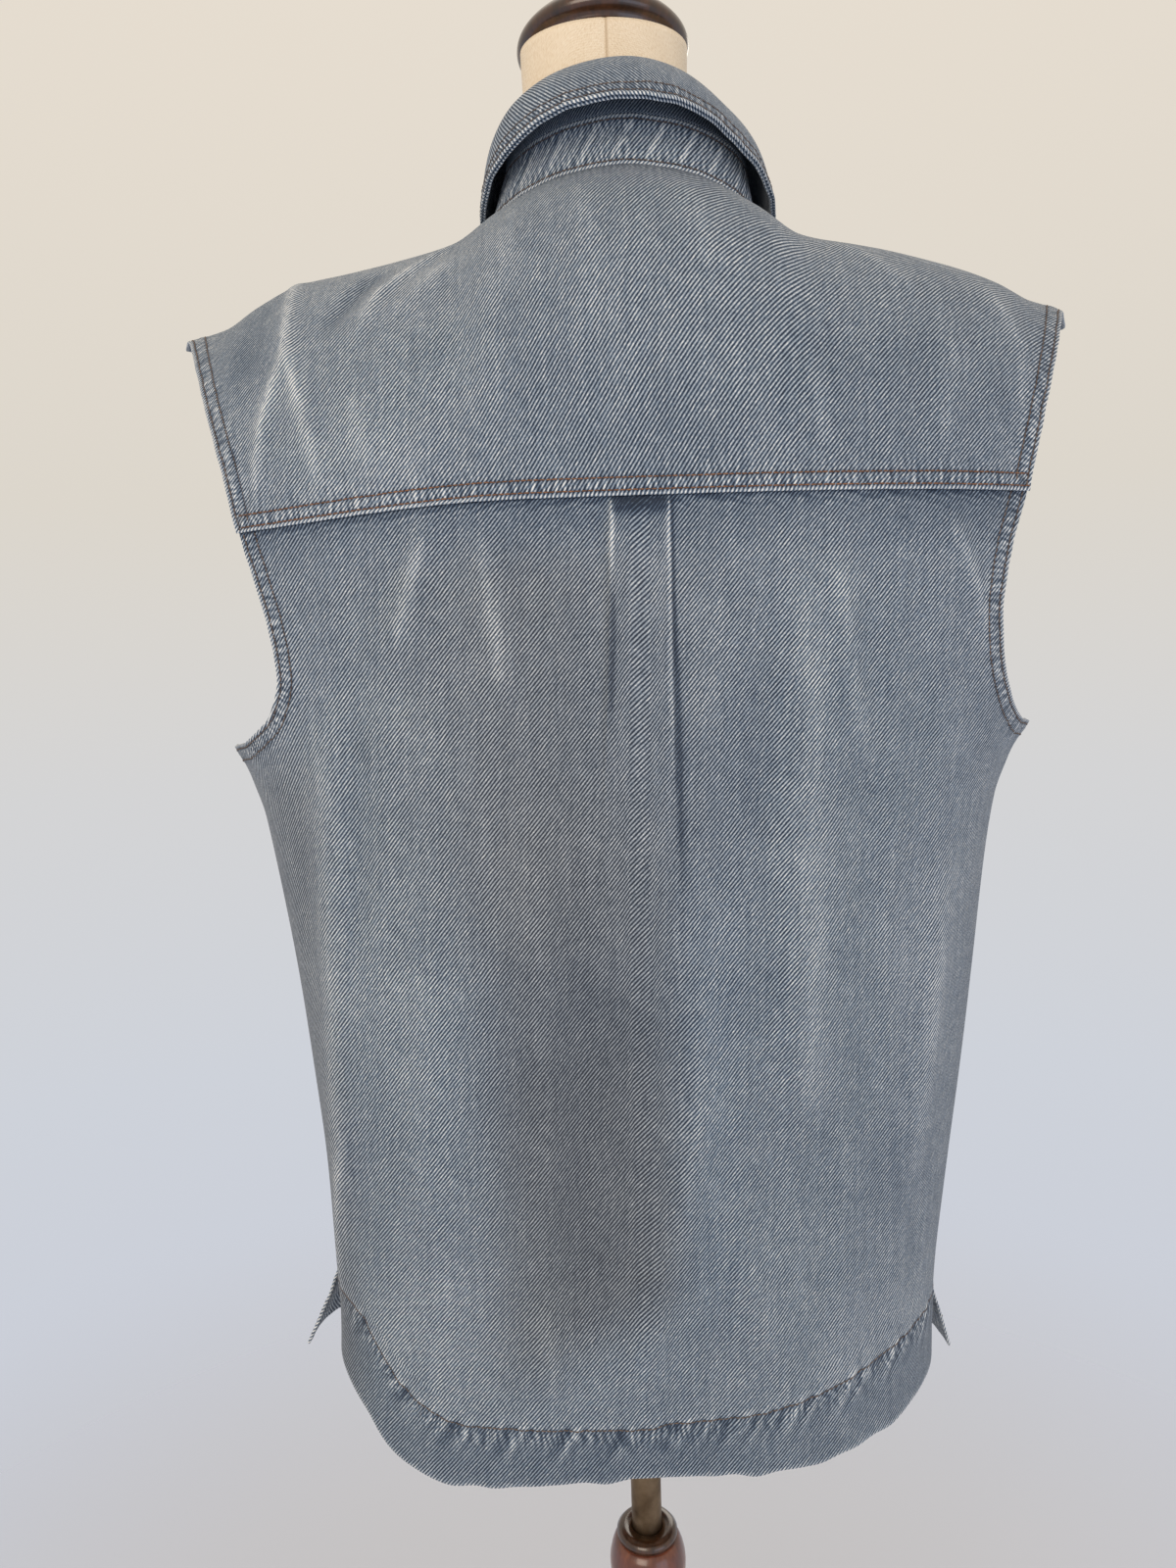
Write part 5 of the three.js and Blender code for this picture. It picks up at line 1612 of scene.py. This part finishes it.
def soften(profile, share=0.25, hard=()):
    """Cuts each corner of a profile by a share of its sides, or by 2 mm for a corner in hard."""
    points = [np.array(point, float) for point in profile]
    cut = [points[0]]
    for i in range(1, len(points) - 1):
        for near in (points[i - 1], points[i + 1]):
            most = HARD_CUT / np.linalg.norm(near - points[i]) if i in hard else share
            cut.append(points[i] + (near - points[i]) * min(share, most))
    cut.append(points[-1])
    return cut


def turned(name, profile, centre, node, body, finish, closed=False):
    """Spins a profile round an upright axis. A closed profile makes a ring with a hole."""
    profile = np.array(profile)
    if closed:
        profile = np.concatenate([profile, profile[:1]])
    turn = 2 * math.pi * np.arange(LATHE_STEPS) / LATHE_STEPS
    x, y, z = centre
    rings = [
        np.stack([x + r * np.cos(turn), y + r * np.sin(turn), z + up + 0 * turn], -1) for r, up in profile
    ]
    made = round_mesh(name, rings, node, body, finish, caps=not closed)
    if closed:
        bm = bmesh.new()
        bm.from_mesh(made.data)
        bmesh.ops.remove_doubles(bm, verts=bm.verts, dist=1e-6)
        bm.to_mesh(made.data)
        bm.free()


CAP_AT = (0, NECK_AXIS_Y, FORM_TOP + SEAM_GAP)
BUSHING_AT = (0, 0, POST_TOP + SEAM_GAP)
ROUND_POST = soften(POST, 0.2, POST_HARD)
turned("walnut_cap", soften(soften(CAP)), CAP_AT, "neck_cap", "form", WALNUT)
turned("walnut_bushing", BUSHING, BUSHING_AT, "bushing", "stand", WALNUT, closed=True)
turned("bronze_pole", POLE, (0, 0, 0), "pole", "mast", BRONZE)
turned("turned_post", ROUND_POST, (0, 0, 0), "post", "stand", MAHOGANY)

# %% [markdown]
# Each leg is sawn from a plank along one S curve and its edges are rounded over with a router. Its
# outline is two cubic curves, extruded to the plank's thickness, with a bevel for the rounding.

# %% The legs
LEG_REACH = 332
LEG_THICK = 26
LEG_TURNS = (-90, 30, 150)
LEG_INNER = 32 + SEAM_GAP
ROUTER = 4
LEAST_FOLD = 1.2


def cubic(a, b, c, d, steps):
    t = np.linspace(0, 1, steps)[:, None]
    a, b, c, d = [np.array(point, float) for point in (a, b, c, d)]
    return a * (1 - t) ** 3 + 3 * b * t * (1 - t) ** 2 + 3 * c * t**2 * (1 - t) + d * t**3


def leg_outline():
    """The leg from the side, as distance from the post's axis and height."""
    heel, instep = LEG_REACH - 42, (LEG_REACH - 26, 34)
    top = cubic((LEG_INNER, 242), (120, 238), (190, 90), instep, 40)
    toe = cubic(instep, (LEG_REACH - 9, 28), (LEG_REACH - 1, 17), (LEG_REACH, 0), 10)[1:]
    sole = cubic((heel, 0), (heel - 48, 34), (130, 120), (LEG_INNER, 170), 40)
    return np.concatenate([top, toe, sole])


def is_rim(edge):
    """A sharp edge of the outline, apart from those on the floor and at the post."""
    a, b = [vertex.co for vertex in edge.verts]
    free = max(a.z, b.z) > 1e-4 and max(a.x, b.x) > (LEG_INNER + 1) * MM
    return free and abs(a.y - b.y) < 1e-6 and edge.calc_face_angle(0) > LEAST_FOLD


def build_leg(number, turn):
    bm = bmesh.new()
    flat = [bm.verts.new((r * MM, -LEG_THICK / 2 * MM, z * MM)) for r, z in leg_outline()]
    grown = bmesh.ops.extrude_face_region(bm, geom=[bm.faces.new(flat)])
    moved = [item for item in grown["geom"] if isinstance(item, bmesh.types.BMVert)]
    bmesh.ops.translate(bm, verts=moved, vec=(0, LEG_THICK * MM, 0))
    bmesh.ops.recalc_face_normals(bm, faces=bm.faces)
    rims = [edge for edge in bm.edges if is_rim(edge)]
    bmesh.ops.bevel(bm, geom=rims, offset=ROUTER * MM, segments=4, profile=0.5, affect="EDGES")
    mesh = bpy.data.meshes.new(f"curved_leg_{number}")
    bm.to_mesh(mesh)
    bm.free()
    mesh.transform(Matrix.Translation((0, POLE_Y * MM, 0)) @ Matrix.Rotation(math.radians(turn), 4, "Z"))
    new_piece(mesh.name, mesh, MAHOGANY, "stand", f"leg_{number}")


for number, turn in enumerate(LEG_TURNS, 1):
    build_leg(number, turn)
print("legs", len(LEG_TURNS))

# %% [markdown]
# Jeans buttons are two stamped shells of brass: a dished cap with a rolled rim over a shank that is
# riveted through the placket. Each is spun like the wood, then laid flat on the cloth.

# %% The buttons
BUTTON_HEIGHTS = (1340, 1262, 1172, 1082, 992, 902, 812)
BUTTON_STEPS = 64
BUTTON = [
    (0.1, 0), (3.2, 0), (6.4, 0.3), (8.0, 1.3), (8.5, 2.0), (8.4, 2.8), (7.7, 3.35), (6.9, 3.2), (6.2, 2.6),
    (5.2, 2.3), (3.8, 2.35), (3.2, 2.75), (2.4, 3.0), (0.1, 3.05),
]


def build_button(number, h):
    normal = Vector(surface_normal(-1, 1, float(turn_for(-1, 0.0, h)), h))
    base = Vector(to_metres(on_cloth(-1, 0.0, h, 3 * SEAM_GAP + CLOTH)))
    spin = 2 * math.pi * np.arange(BUTTON_STEPS) / BUTTON_STEPS
    rings = [np.stack([r * np.cos(spin), r * np.sin(spin), 0 * spin + z], -1) for r, z in soften(BUTTON)]
    made = round_mesh(f"stamped_button_{number}", rings, f"button_{number}", "form", BRASS)
    made.data.transform(Matrix.Translation((0, -POLE_Y * MM, 0)))
    made.data.transform(Matrix.Translation(base) @ normal.to_track_quat("Z", "Y").to_matrix().to_4x4())


for number, h in enumerate(BUTTON_HEIGHTS, 1):
    build_button(number, h)

# %% [markdown]
# A jeans maker sews the seams that carry the look in tobacco thread, and it fades to grey brown where
# it is washed most. Each group of rows becomes one mesh. A row is given by its panel, the edge it
# follows, the part of that edge that is sewn and its distances in from it.

# %% Rows of thread
BACKWARD, UPWARD, FORWARD = (0, 1, 0), (0, 0, 1), (0, -1, 0)
WHOLE = slice(None)
ABOVE_HEM = slice(6, None)
OFF_STAND = slice(8, None)
FRONT_SEAM = slice(3, -6)


def edge_rows(made, edge, keep, distances, outside):
    """Stitch runs along one edge of a panel, at distances inside it."""
    points = made["points"] if edge in ("bottom", "top") else made["points"].swapaxes(0, 1)
    rows = points[::-1] if edge in ("top", "left") else points
    return [(made["tree"], inset(rows[:, keep], distance), outside) for distance in distances]


def sew(name, thread, rows, runs=()):
    stitches(name, thread, [*runs, *(run for row in rows for run in edge_rows(*row))])


fronts = (front_left, front_right)
sew("yoke_stitching", TOBACCO_THREAD, [
    (yoke, "bottom", slice(YOKE_CORNER, -YOKE_CORNER), YOKE_THREAD, BACKWARD),
    *((yoke, edge, FRONT_SEAM, YOKE_THREAD, FORWARD) for edge in ("left", "right")),
])
sew("armhole_stitching", GREY_THREAD, [
    (yoke, "bottom", slice(0, YOKE_CORNER + 1), ARMHOLE_THREAD, UPWARD),
    (yoke, "bottom", slice(-YOKE_CORNER - 1, None), ARMHOLE_THREAD, UPWARD),
    *((back, edge, back["arm_rows"], ARMHOLE_THREAD, BACKWARD) for edge in ("left", "right")),
    *((front, "left", front["arm"], ARMHOLE_THREAD, FORWARD) for front in fronts),
])
hem_rows = []
for front in fronts:
    hem_rows.append((front, "bottom", WHOLE, FRONT_HEM_THREAD[1:], FORWARD))
    hem_rows.append((front, "left", front["vent"], VENT_THREAD, FORWARD))
sew("hem_stitching", GREY_THREAD, hem_rows, [(back["tree"], back["points"][HEM_ROW], BACKWARD)])
sew("placket_stitching", TOBACCO_THREAD,
    [(placket, edge, ABOVE_HEM, PLACKET_THREAD, FORWARD) for edge in ("right", "left")])
sew("collar_stitching", GREY_THREAD, [
    (leaf, "top", WHOLE, LEAF_THREAD, BACKWARD),
    *((leaf, edge, OFF_STAND, LEAF_THREAD, BACKWARD) for edge in ("right", "left")),
    (stand, "bottom", WHOLE, STAND_FOOT_THREAD, BACKWARD),
    (stand, "top", WHOLE, STAND_TOP_THREAD, BACKWARD),
])
sew("side_seam_stitching", GREY_THREAD,
    [(back, edge, ~back["arm_rows"], ARMHOLE_THREAD, BACKWARD) for edge in ("left", "right")])

# %% [markdown]
# Denim is a 3/1 twill: indigo warp over a white weft, stepping one thread at each pick, which draws
# fine diagonal lines. Washing rubs the dye off whatever stands proud. So one number decides the
# colour, a tone from deep indigo to bare cotton: the diagonal, the uneven yarn, the slow fading and
# the wear of each ridge add to it, and painted shade in hollows, grooves and under the yoke takes
# away, greyed where it is broad. Real lines are 1.3 mm apart, too fine for the picture, so they are
# drawn at 1.7 mm. Cotton is dull, with a little sheen from its fibres.

# %% Washed denim
TWILL_STEP = 1.7 * MM
TWILL_LEAN = math.radians(51)
PUCKER_STEP = 3.6 * MM
# Noise cells a metre. The real size of each thing is given after it
WANDER = 55.0  # a line of the twill wanders over 18 mm
STREAK = (1000.0, 150.0, 1.0)  # dye on one yarn, 1 mm wide and 7 mm long
SLUB = (420.0, 16.0, 1.0)  # a thick place in the warp, 2.4 mm wide and 60 mm long
FLECK = 800.0  # a bare nib of 1.2 mm
FADE = 7.0  # slow fading over 140 mm
PATCH = 38.0  # clouds of wear over 26 mm
DASH = 90.0  # puckers that wander over 11 mm
DENIM_TONE = 0.4
DASH_SHARE, WORN_SHARE, DARK_SHARE = 0.24, 0.85, 0.75
INDIGO = [(0.0, "#182538"), (0.26, "#445468"), (0.5, "#707f90"), (0.75, "#a2abb5"), (1.0, "#e4e5e4")]


def finish_denim(material):
    material.use_nodes = True
    tree = material.node_tree
    tree.nodes.clear()
    weave, seam = [add(tree, "UVMap", uv_map=label) for label in ("weave", "seam")]
    finish = add(tree, "Attribute", attribute_name="finish")
    tint = add(tree, "SeparateColor", {0: finish.outputs["Color"]})
    sewn = add(tree, "SeparateXYZ", {0: seam})
    turned_weave = add(tree, "Mapping", {0: weave, "Rotation": (0, 0, TWILL_LEAN - QUARTER)})

    # The twill is a sine across lines that bend a little
    wobble = add(tree, "TexNoise", {"Vector": weave, "Scale": WANDER, "Detail": 2.0})
    bend = add(tree, "Math", {0: wobble, 1: 3.0}, operation="MULTIPLY")
    diagonal = add(tree, "SeparateXYZ", {0: turned_weave})
    phase = add(tree, "Math", {0: diagonal, 1: 2 * math.pi / TWILL_STEP, 2: bend}, operation="MULTIPLY_ADD")
    twill = add(tree, "Math", {0: phase}, operation="SINE")

    # Yarn, flecks and fading, each a noise about a half
    along_twill = add(tree, "Mapping", {0: turned_weave, "Scale": STREAK})
    streak = add(tree, "TexNoise", {"Vector": along_twill, "Scale": 1.0, "Detail": 2.0})
    along_warp = add(tree, "Mapping", {0: weave, "Scale": SLUB})
    slub = add(tree, "TexNoise", {"Vector": along_warp, "Scale": 1.0, "Detail": 3.0})
    fleck = add(tree, "TexNoise", {"Vector": weave, "Scale": FLECK, "Detail": 2.0, "Roughness": 0.7})
    fade = add(tree, "TexNoise", {"Vector": weave, "Scale": FADE, "Detail": 3.0})
    patch = add(tree, "TexNoise", {"Vector": weave, "Scale": PATCH, "Detail": 4.0, "Roughness": 0.6})

    # Puckers are dashes along the seam, where the cloth is sewn and off its very rim
    stray = add(tree, "TexNoise", {"Vector": seam, "Scale": DASH, "Detail": 2.0})
    stray = add(tree, "Math", {0: stray, 1: 14.0}, operation="MULTIPLY")
    dash = add(tree, "Math", {0: sewn, 1: 2 * math.pi / PUCKER_STEP, 2: stray}, operation="MULTIPLY_ADD")
    dash = add(tree, "Math", {0: dash}, operation="SINE")
    sewn_here = add(tree, "MapRange", {0: tint.outputs[2], 1: 0.5, 2: 1.0})
    off_rim = add(tree, "MapRange", {0: sewn.outputs[1], 1: 1.2 * MM, 2: 2.6 * MM})
    for mask in (sewn_here, off_rim):
        dash = add(tree, "Math", {0: dash, 1: mask}, operation="MULTIPLY")

    # Everything adds up to one tone, from deep indigo to bare cotton
    tone = add(tree, "Math", {0: twill, 1: DENIM_TONE, 2: DENIM_TONE}, operation="MULTIPLY_ADD")
    shares = [(streak, 0.5), (slub, 0.18), (fleck, 0.75), (fade, 0.28), (patch, 0.16)]
    # The finish's darkness is painted light and shade: hollows, grooves and shadows darken, lit places
    # lighten
    shares += [(tint.outputs[0], WORN_SHARE), (tint.outputs[1], -DARK_SHARE)]
    for source, share in shares:
        centred = add(tree, "Math", {0: source, 1: 0.5}, operation="SUBTRACT")
        tone = add(tree, "Math", {0: centred, 1: share, 2: tone}, operation="MULTIPLY_ADD")
    tone = add(tree, "Math", {0: dash, 1: DASH_SHARE, 2: tone}, operation="MULTIPLY_ADD")
    shade = ramp(add(tree, "ValToRGB", {0: tone}), INDIGO)
    # The finish's grey channel takes colour out of broad painted shade
    shade_saturation = add(tree, "Math", {0: finish.outputs["Alpha"], 1: -1.4, 2: 1.7}, operation="MULTIPLY_ADD")
    shade = add(tree, "HueSaturation", {"Color": shade, "Saturation": shade_saturation})

    # The same patterns stand proud by a fraction of a millimetre
    relief = add(tree, "Math", {0: fleck, 1: 1.2}, operation="MULTIPLY")
    for source, share in ((twill, 0.5), (dash, 0.6)):
        relief = add(tree, "Math", {0: source, 1: share, 2: relief}, operation="MULTIPLY_ADD")
    bump = add(tree, "Bump", {"Height": relief, "Strength": 0.55, "Distance": 0.35 * MM})
    shader = add(tree, "BsdfPrincipled", {"Base Color": shade, "Normal": bump, "Roughness": 0.88,
                                          "Sheen Weight": 0.12, "Sheen Roughness": 0.5, "IOR": 1.47})
    add(tree, "OutputMaterial", {0: shader})


finish_denim(DENIM)
print("denim nodes", len(DENIM.node_tree.nodes))

# %% [markdown]
# The rest are plain natural things. Thread is twisted cotton, so it is dull with a slight lustre.
# The form's cover is a plain weave, a small square grid of 0.9 mm threads, drawn at 1.4 mm so that it
# shows. Walnut and mahogany have grain 10 to 14 mm across and 70 to 110 mm long, which the varnish
# darkens, and old bronze is brown in its pits and brighter where hands slide it.

# %% Thread, cotton, wood and metal
COTTON_STEP = 1.4 * MM
FORM_SEAM_X = -0.6 * MM
COTTON = [(0.1, "#ab9073"), (0.35, "#d2bc9e"), (0.62, "#e3d1b7"), (1.0, "#efe3cf")]

def fresh(material):
    material.use_nodes = True
    material.node_tree.nodes.clear()
    return material.node_tree


def finish_thread(material, dull, bright):
    tree = fresh(material)
    place = add(tree, "TexCoord")
    mottle = add(tree, "TexNoise", {"Vector": place.outputs["Object"], "Scale": 160.0, "Detail": 2.0})
    shade = ramp(add(tree, "ValToRGB", {0: mottle}), [(0.3, dull), (0.7, bright)])
    twist = add(tree, "TexNoise", {"Vector": place.outputs["Object"], "Scale": 2600.0})
    bump = add(tree, "Bump", {"Height": twist, "Strength": 0.4, "Distance": 0.1 * MM})
    shader = add(tree, "BsdfPrincipled", {"Base Color": shade, "Normal": bump, "Roughness": 0.7, "IOR": 1.5})
    add(tree, "OutputMaterial", {0: shader})


def finish_cotton(material):
    tree = fresh(material)
    weave = add(tree, "UVMap", uv_map="weave")
    flat = add(tree, "SeparateXYZ", {0: weave})
    turns = [
        add(tree, "Math", {0: flat.outputs[axis], 1: 2 * math.pi / COTTON_STEP}, operation="MULTIPLY")
        for axis in (0, 1)
    ]
    waves = [add(tree, "Math", {0: turn}, operation="SINE") for turn in turns]
    grid = add(tree, "Math", {0: waves[0], 1: waves[1]}, operation="MULTIPLY")
    slub = add(tree, "TexNoise", {"Vector": weave, "Scale": 900.0, "Detail": 2.0})
    broad = add(tree, "TexNoise", {"Vector": weave, "Scale": 30.0, "Detail": 3.0})
    tone = add(tree, "Math", {0: grid, 1: 0.12, 2: slub}, operation="MULTIPLY_ADD")
    tone = add(tree, "Math", {0: broad, 1: 0.25, 2: tone}, operation="MULTIPLY_ADD")
    place = add(tree, "SeparateXYZ", {0: add(tree, "TexCoord").outputs["Object"]})
    off = add(tree, "Math", {0: place, 1: FORM_SEAM_X}, operation="SUBTRACT")
    off = add(tree, "Math", {0: off}, operation="ABSOLUTE")
    seam = add(tree, "MapRange", {0: off, 1: 0.3 * MM, 2: 1.3 * MM, 3: 0.32, 4: 0.0})
    tone = add(tree, "Math", {0: tone, 1: seam}, operation="SUBTRACT")
    shade = ramp(add(tree, "ValToRGB", {0: tone}), COTTON)
    bump = add(tree, "Bump", {"Height": tone, "Strength": 0.5, "Distance": 0.3 * MM})
    shader = add(tree, "BsdfPrincipled", {"Base Color": shade, "Normal": bump, "Roughness": 0.9,
                                          "IOR": 1.47, "Sheen Weight": 0.1})
    add(tree, "OutputMaterial", {0: shader})


def finish_wood(material, stops, stretch, gloss):
    """Grain along the stretched axis, under varnish."""
    tree = fresh(material)
    long_way = add(tree, "Mapping", {0: add(tree, "TexCoord").outputs["Object"], "Scale": stretch})
    grain = add(tree, "TexNoise", {"Vector": long_way, "Scale": 1.0, "Detail": 6.0, "Roughness": 0.65})
    pores = add(tree, "TexNoise", {"Vector": long_way, "Scale": 5.0, "Detail": 2.0})
    tone = add(tree, "Math", {0: grain, 1: 0.17}, operation="SUBTRACT")
    tone = add(tree, "Math", {0: pores, 1: 0.35, 2: tone}, operation="MULTIPLY_ADD")
    shade = ramp(add(tree, "ValToRGB", {0: tone}), stops)
    bump = add(tree, "Bump", {"Height": pores, "Strength": 0.15, "Distance": 0.2 * MM})
    shader = add(tree, "BsdfPrincipled", {"Base Color": shade, "Normal": bump, "Roughness": gloss,
                                          "IOR": 1.5, "Coat Weight": 0.5, "Coat Roughness": 0.12})
    add(tree, "OutputMaterial", {0: shader})


def finish_metal(material, stops, scale, rough):
    tree = fresh(material)
    place = add(tree, "TexCoord")
    patina = add(tree, "TexNoise", {"Vector": place.outputs["Object"], "Scale": scale, "Detail": 5.0})
    shade = ramp(add(tree, "ValToRGB", {0: patina}), stops)
    gloss = add(tree, "MapRange", {0: patina, 1: 0.3, 2: 0.7, 3: rough + 0.12, 4: rough - 0.08})
    shader = add(tree, "BsdfPrincipled", {"Base Color": shade, "Roughness": gloss, "Metallic": 1.0})
    add(tree, "OutputMaterial", {0: shader})


finish_thread(TOBACCO_THREAD, "#5a3e2d", "#855c41")
finish_thread(GREY_THREAD, "#4b413d", "#6e5f57")
finish_cotton(FORM_COTTON)
finish_wood(WALNUT, [(0.25, "#1a0d08"), (0.5, "#38200f"), (0.75, "#52301c")], (90.0, 90.0, 14.0), 0.28)
finish_wood(MAHOGANY, [(0.25, "#3a1a10"), (0.5, "#5d2f1f"), (0.75, "#7c452e")], (70.0, 70.0, 9.0), 0.3)
finish_metal(BRONZE, [(0.3, "#4b3b2c"), (0.6, "#7a6650"), (0.8, "#9c8870")], 60.0, 0.4)
finish_metal(BRASS, [(0.3, "#5a4a38"), (0.6, "#8f7a5c"), (0.8, "#b8a07a")], 240.0, 0.38)
print("materials", len(bpy.data.materials))

# %% [markdown]
# The flat width, length and area of each cloth panel are printed.

# %% Sizes and finish
print("sheets", SHEETS)
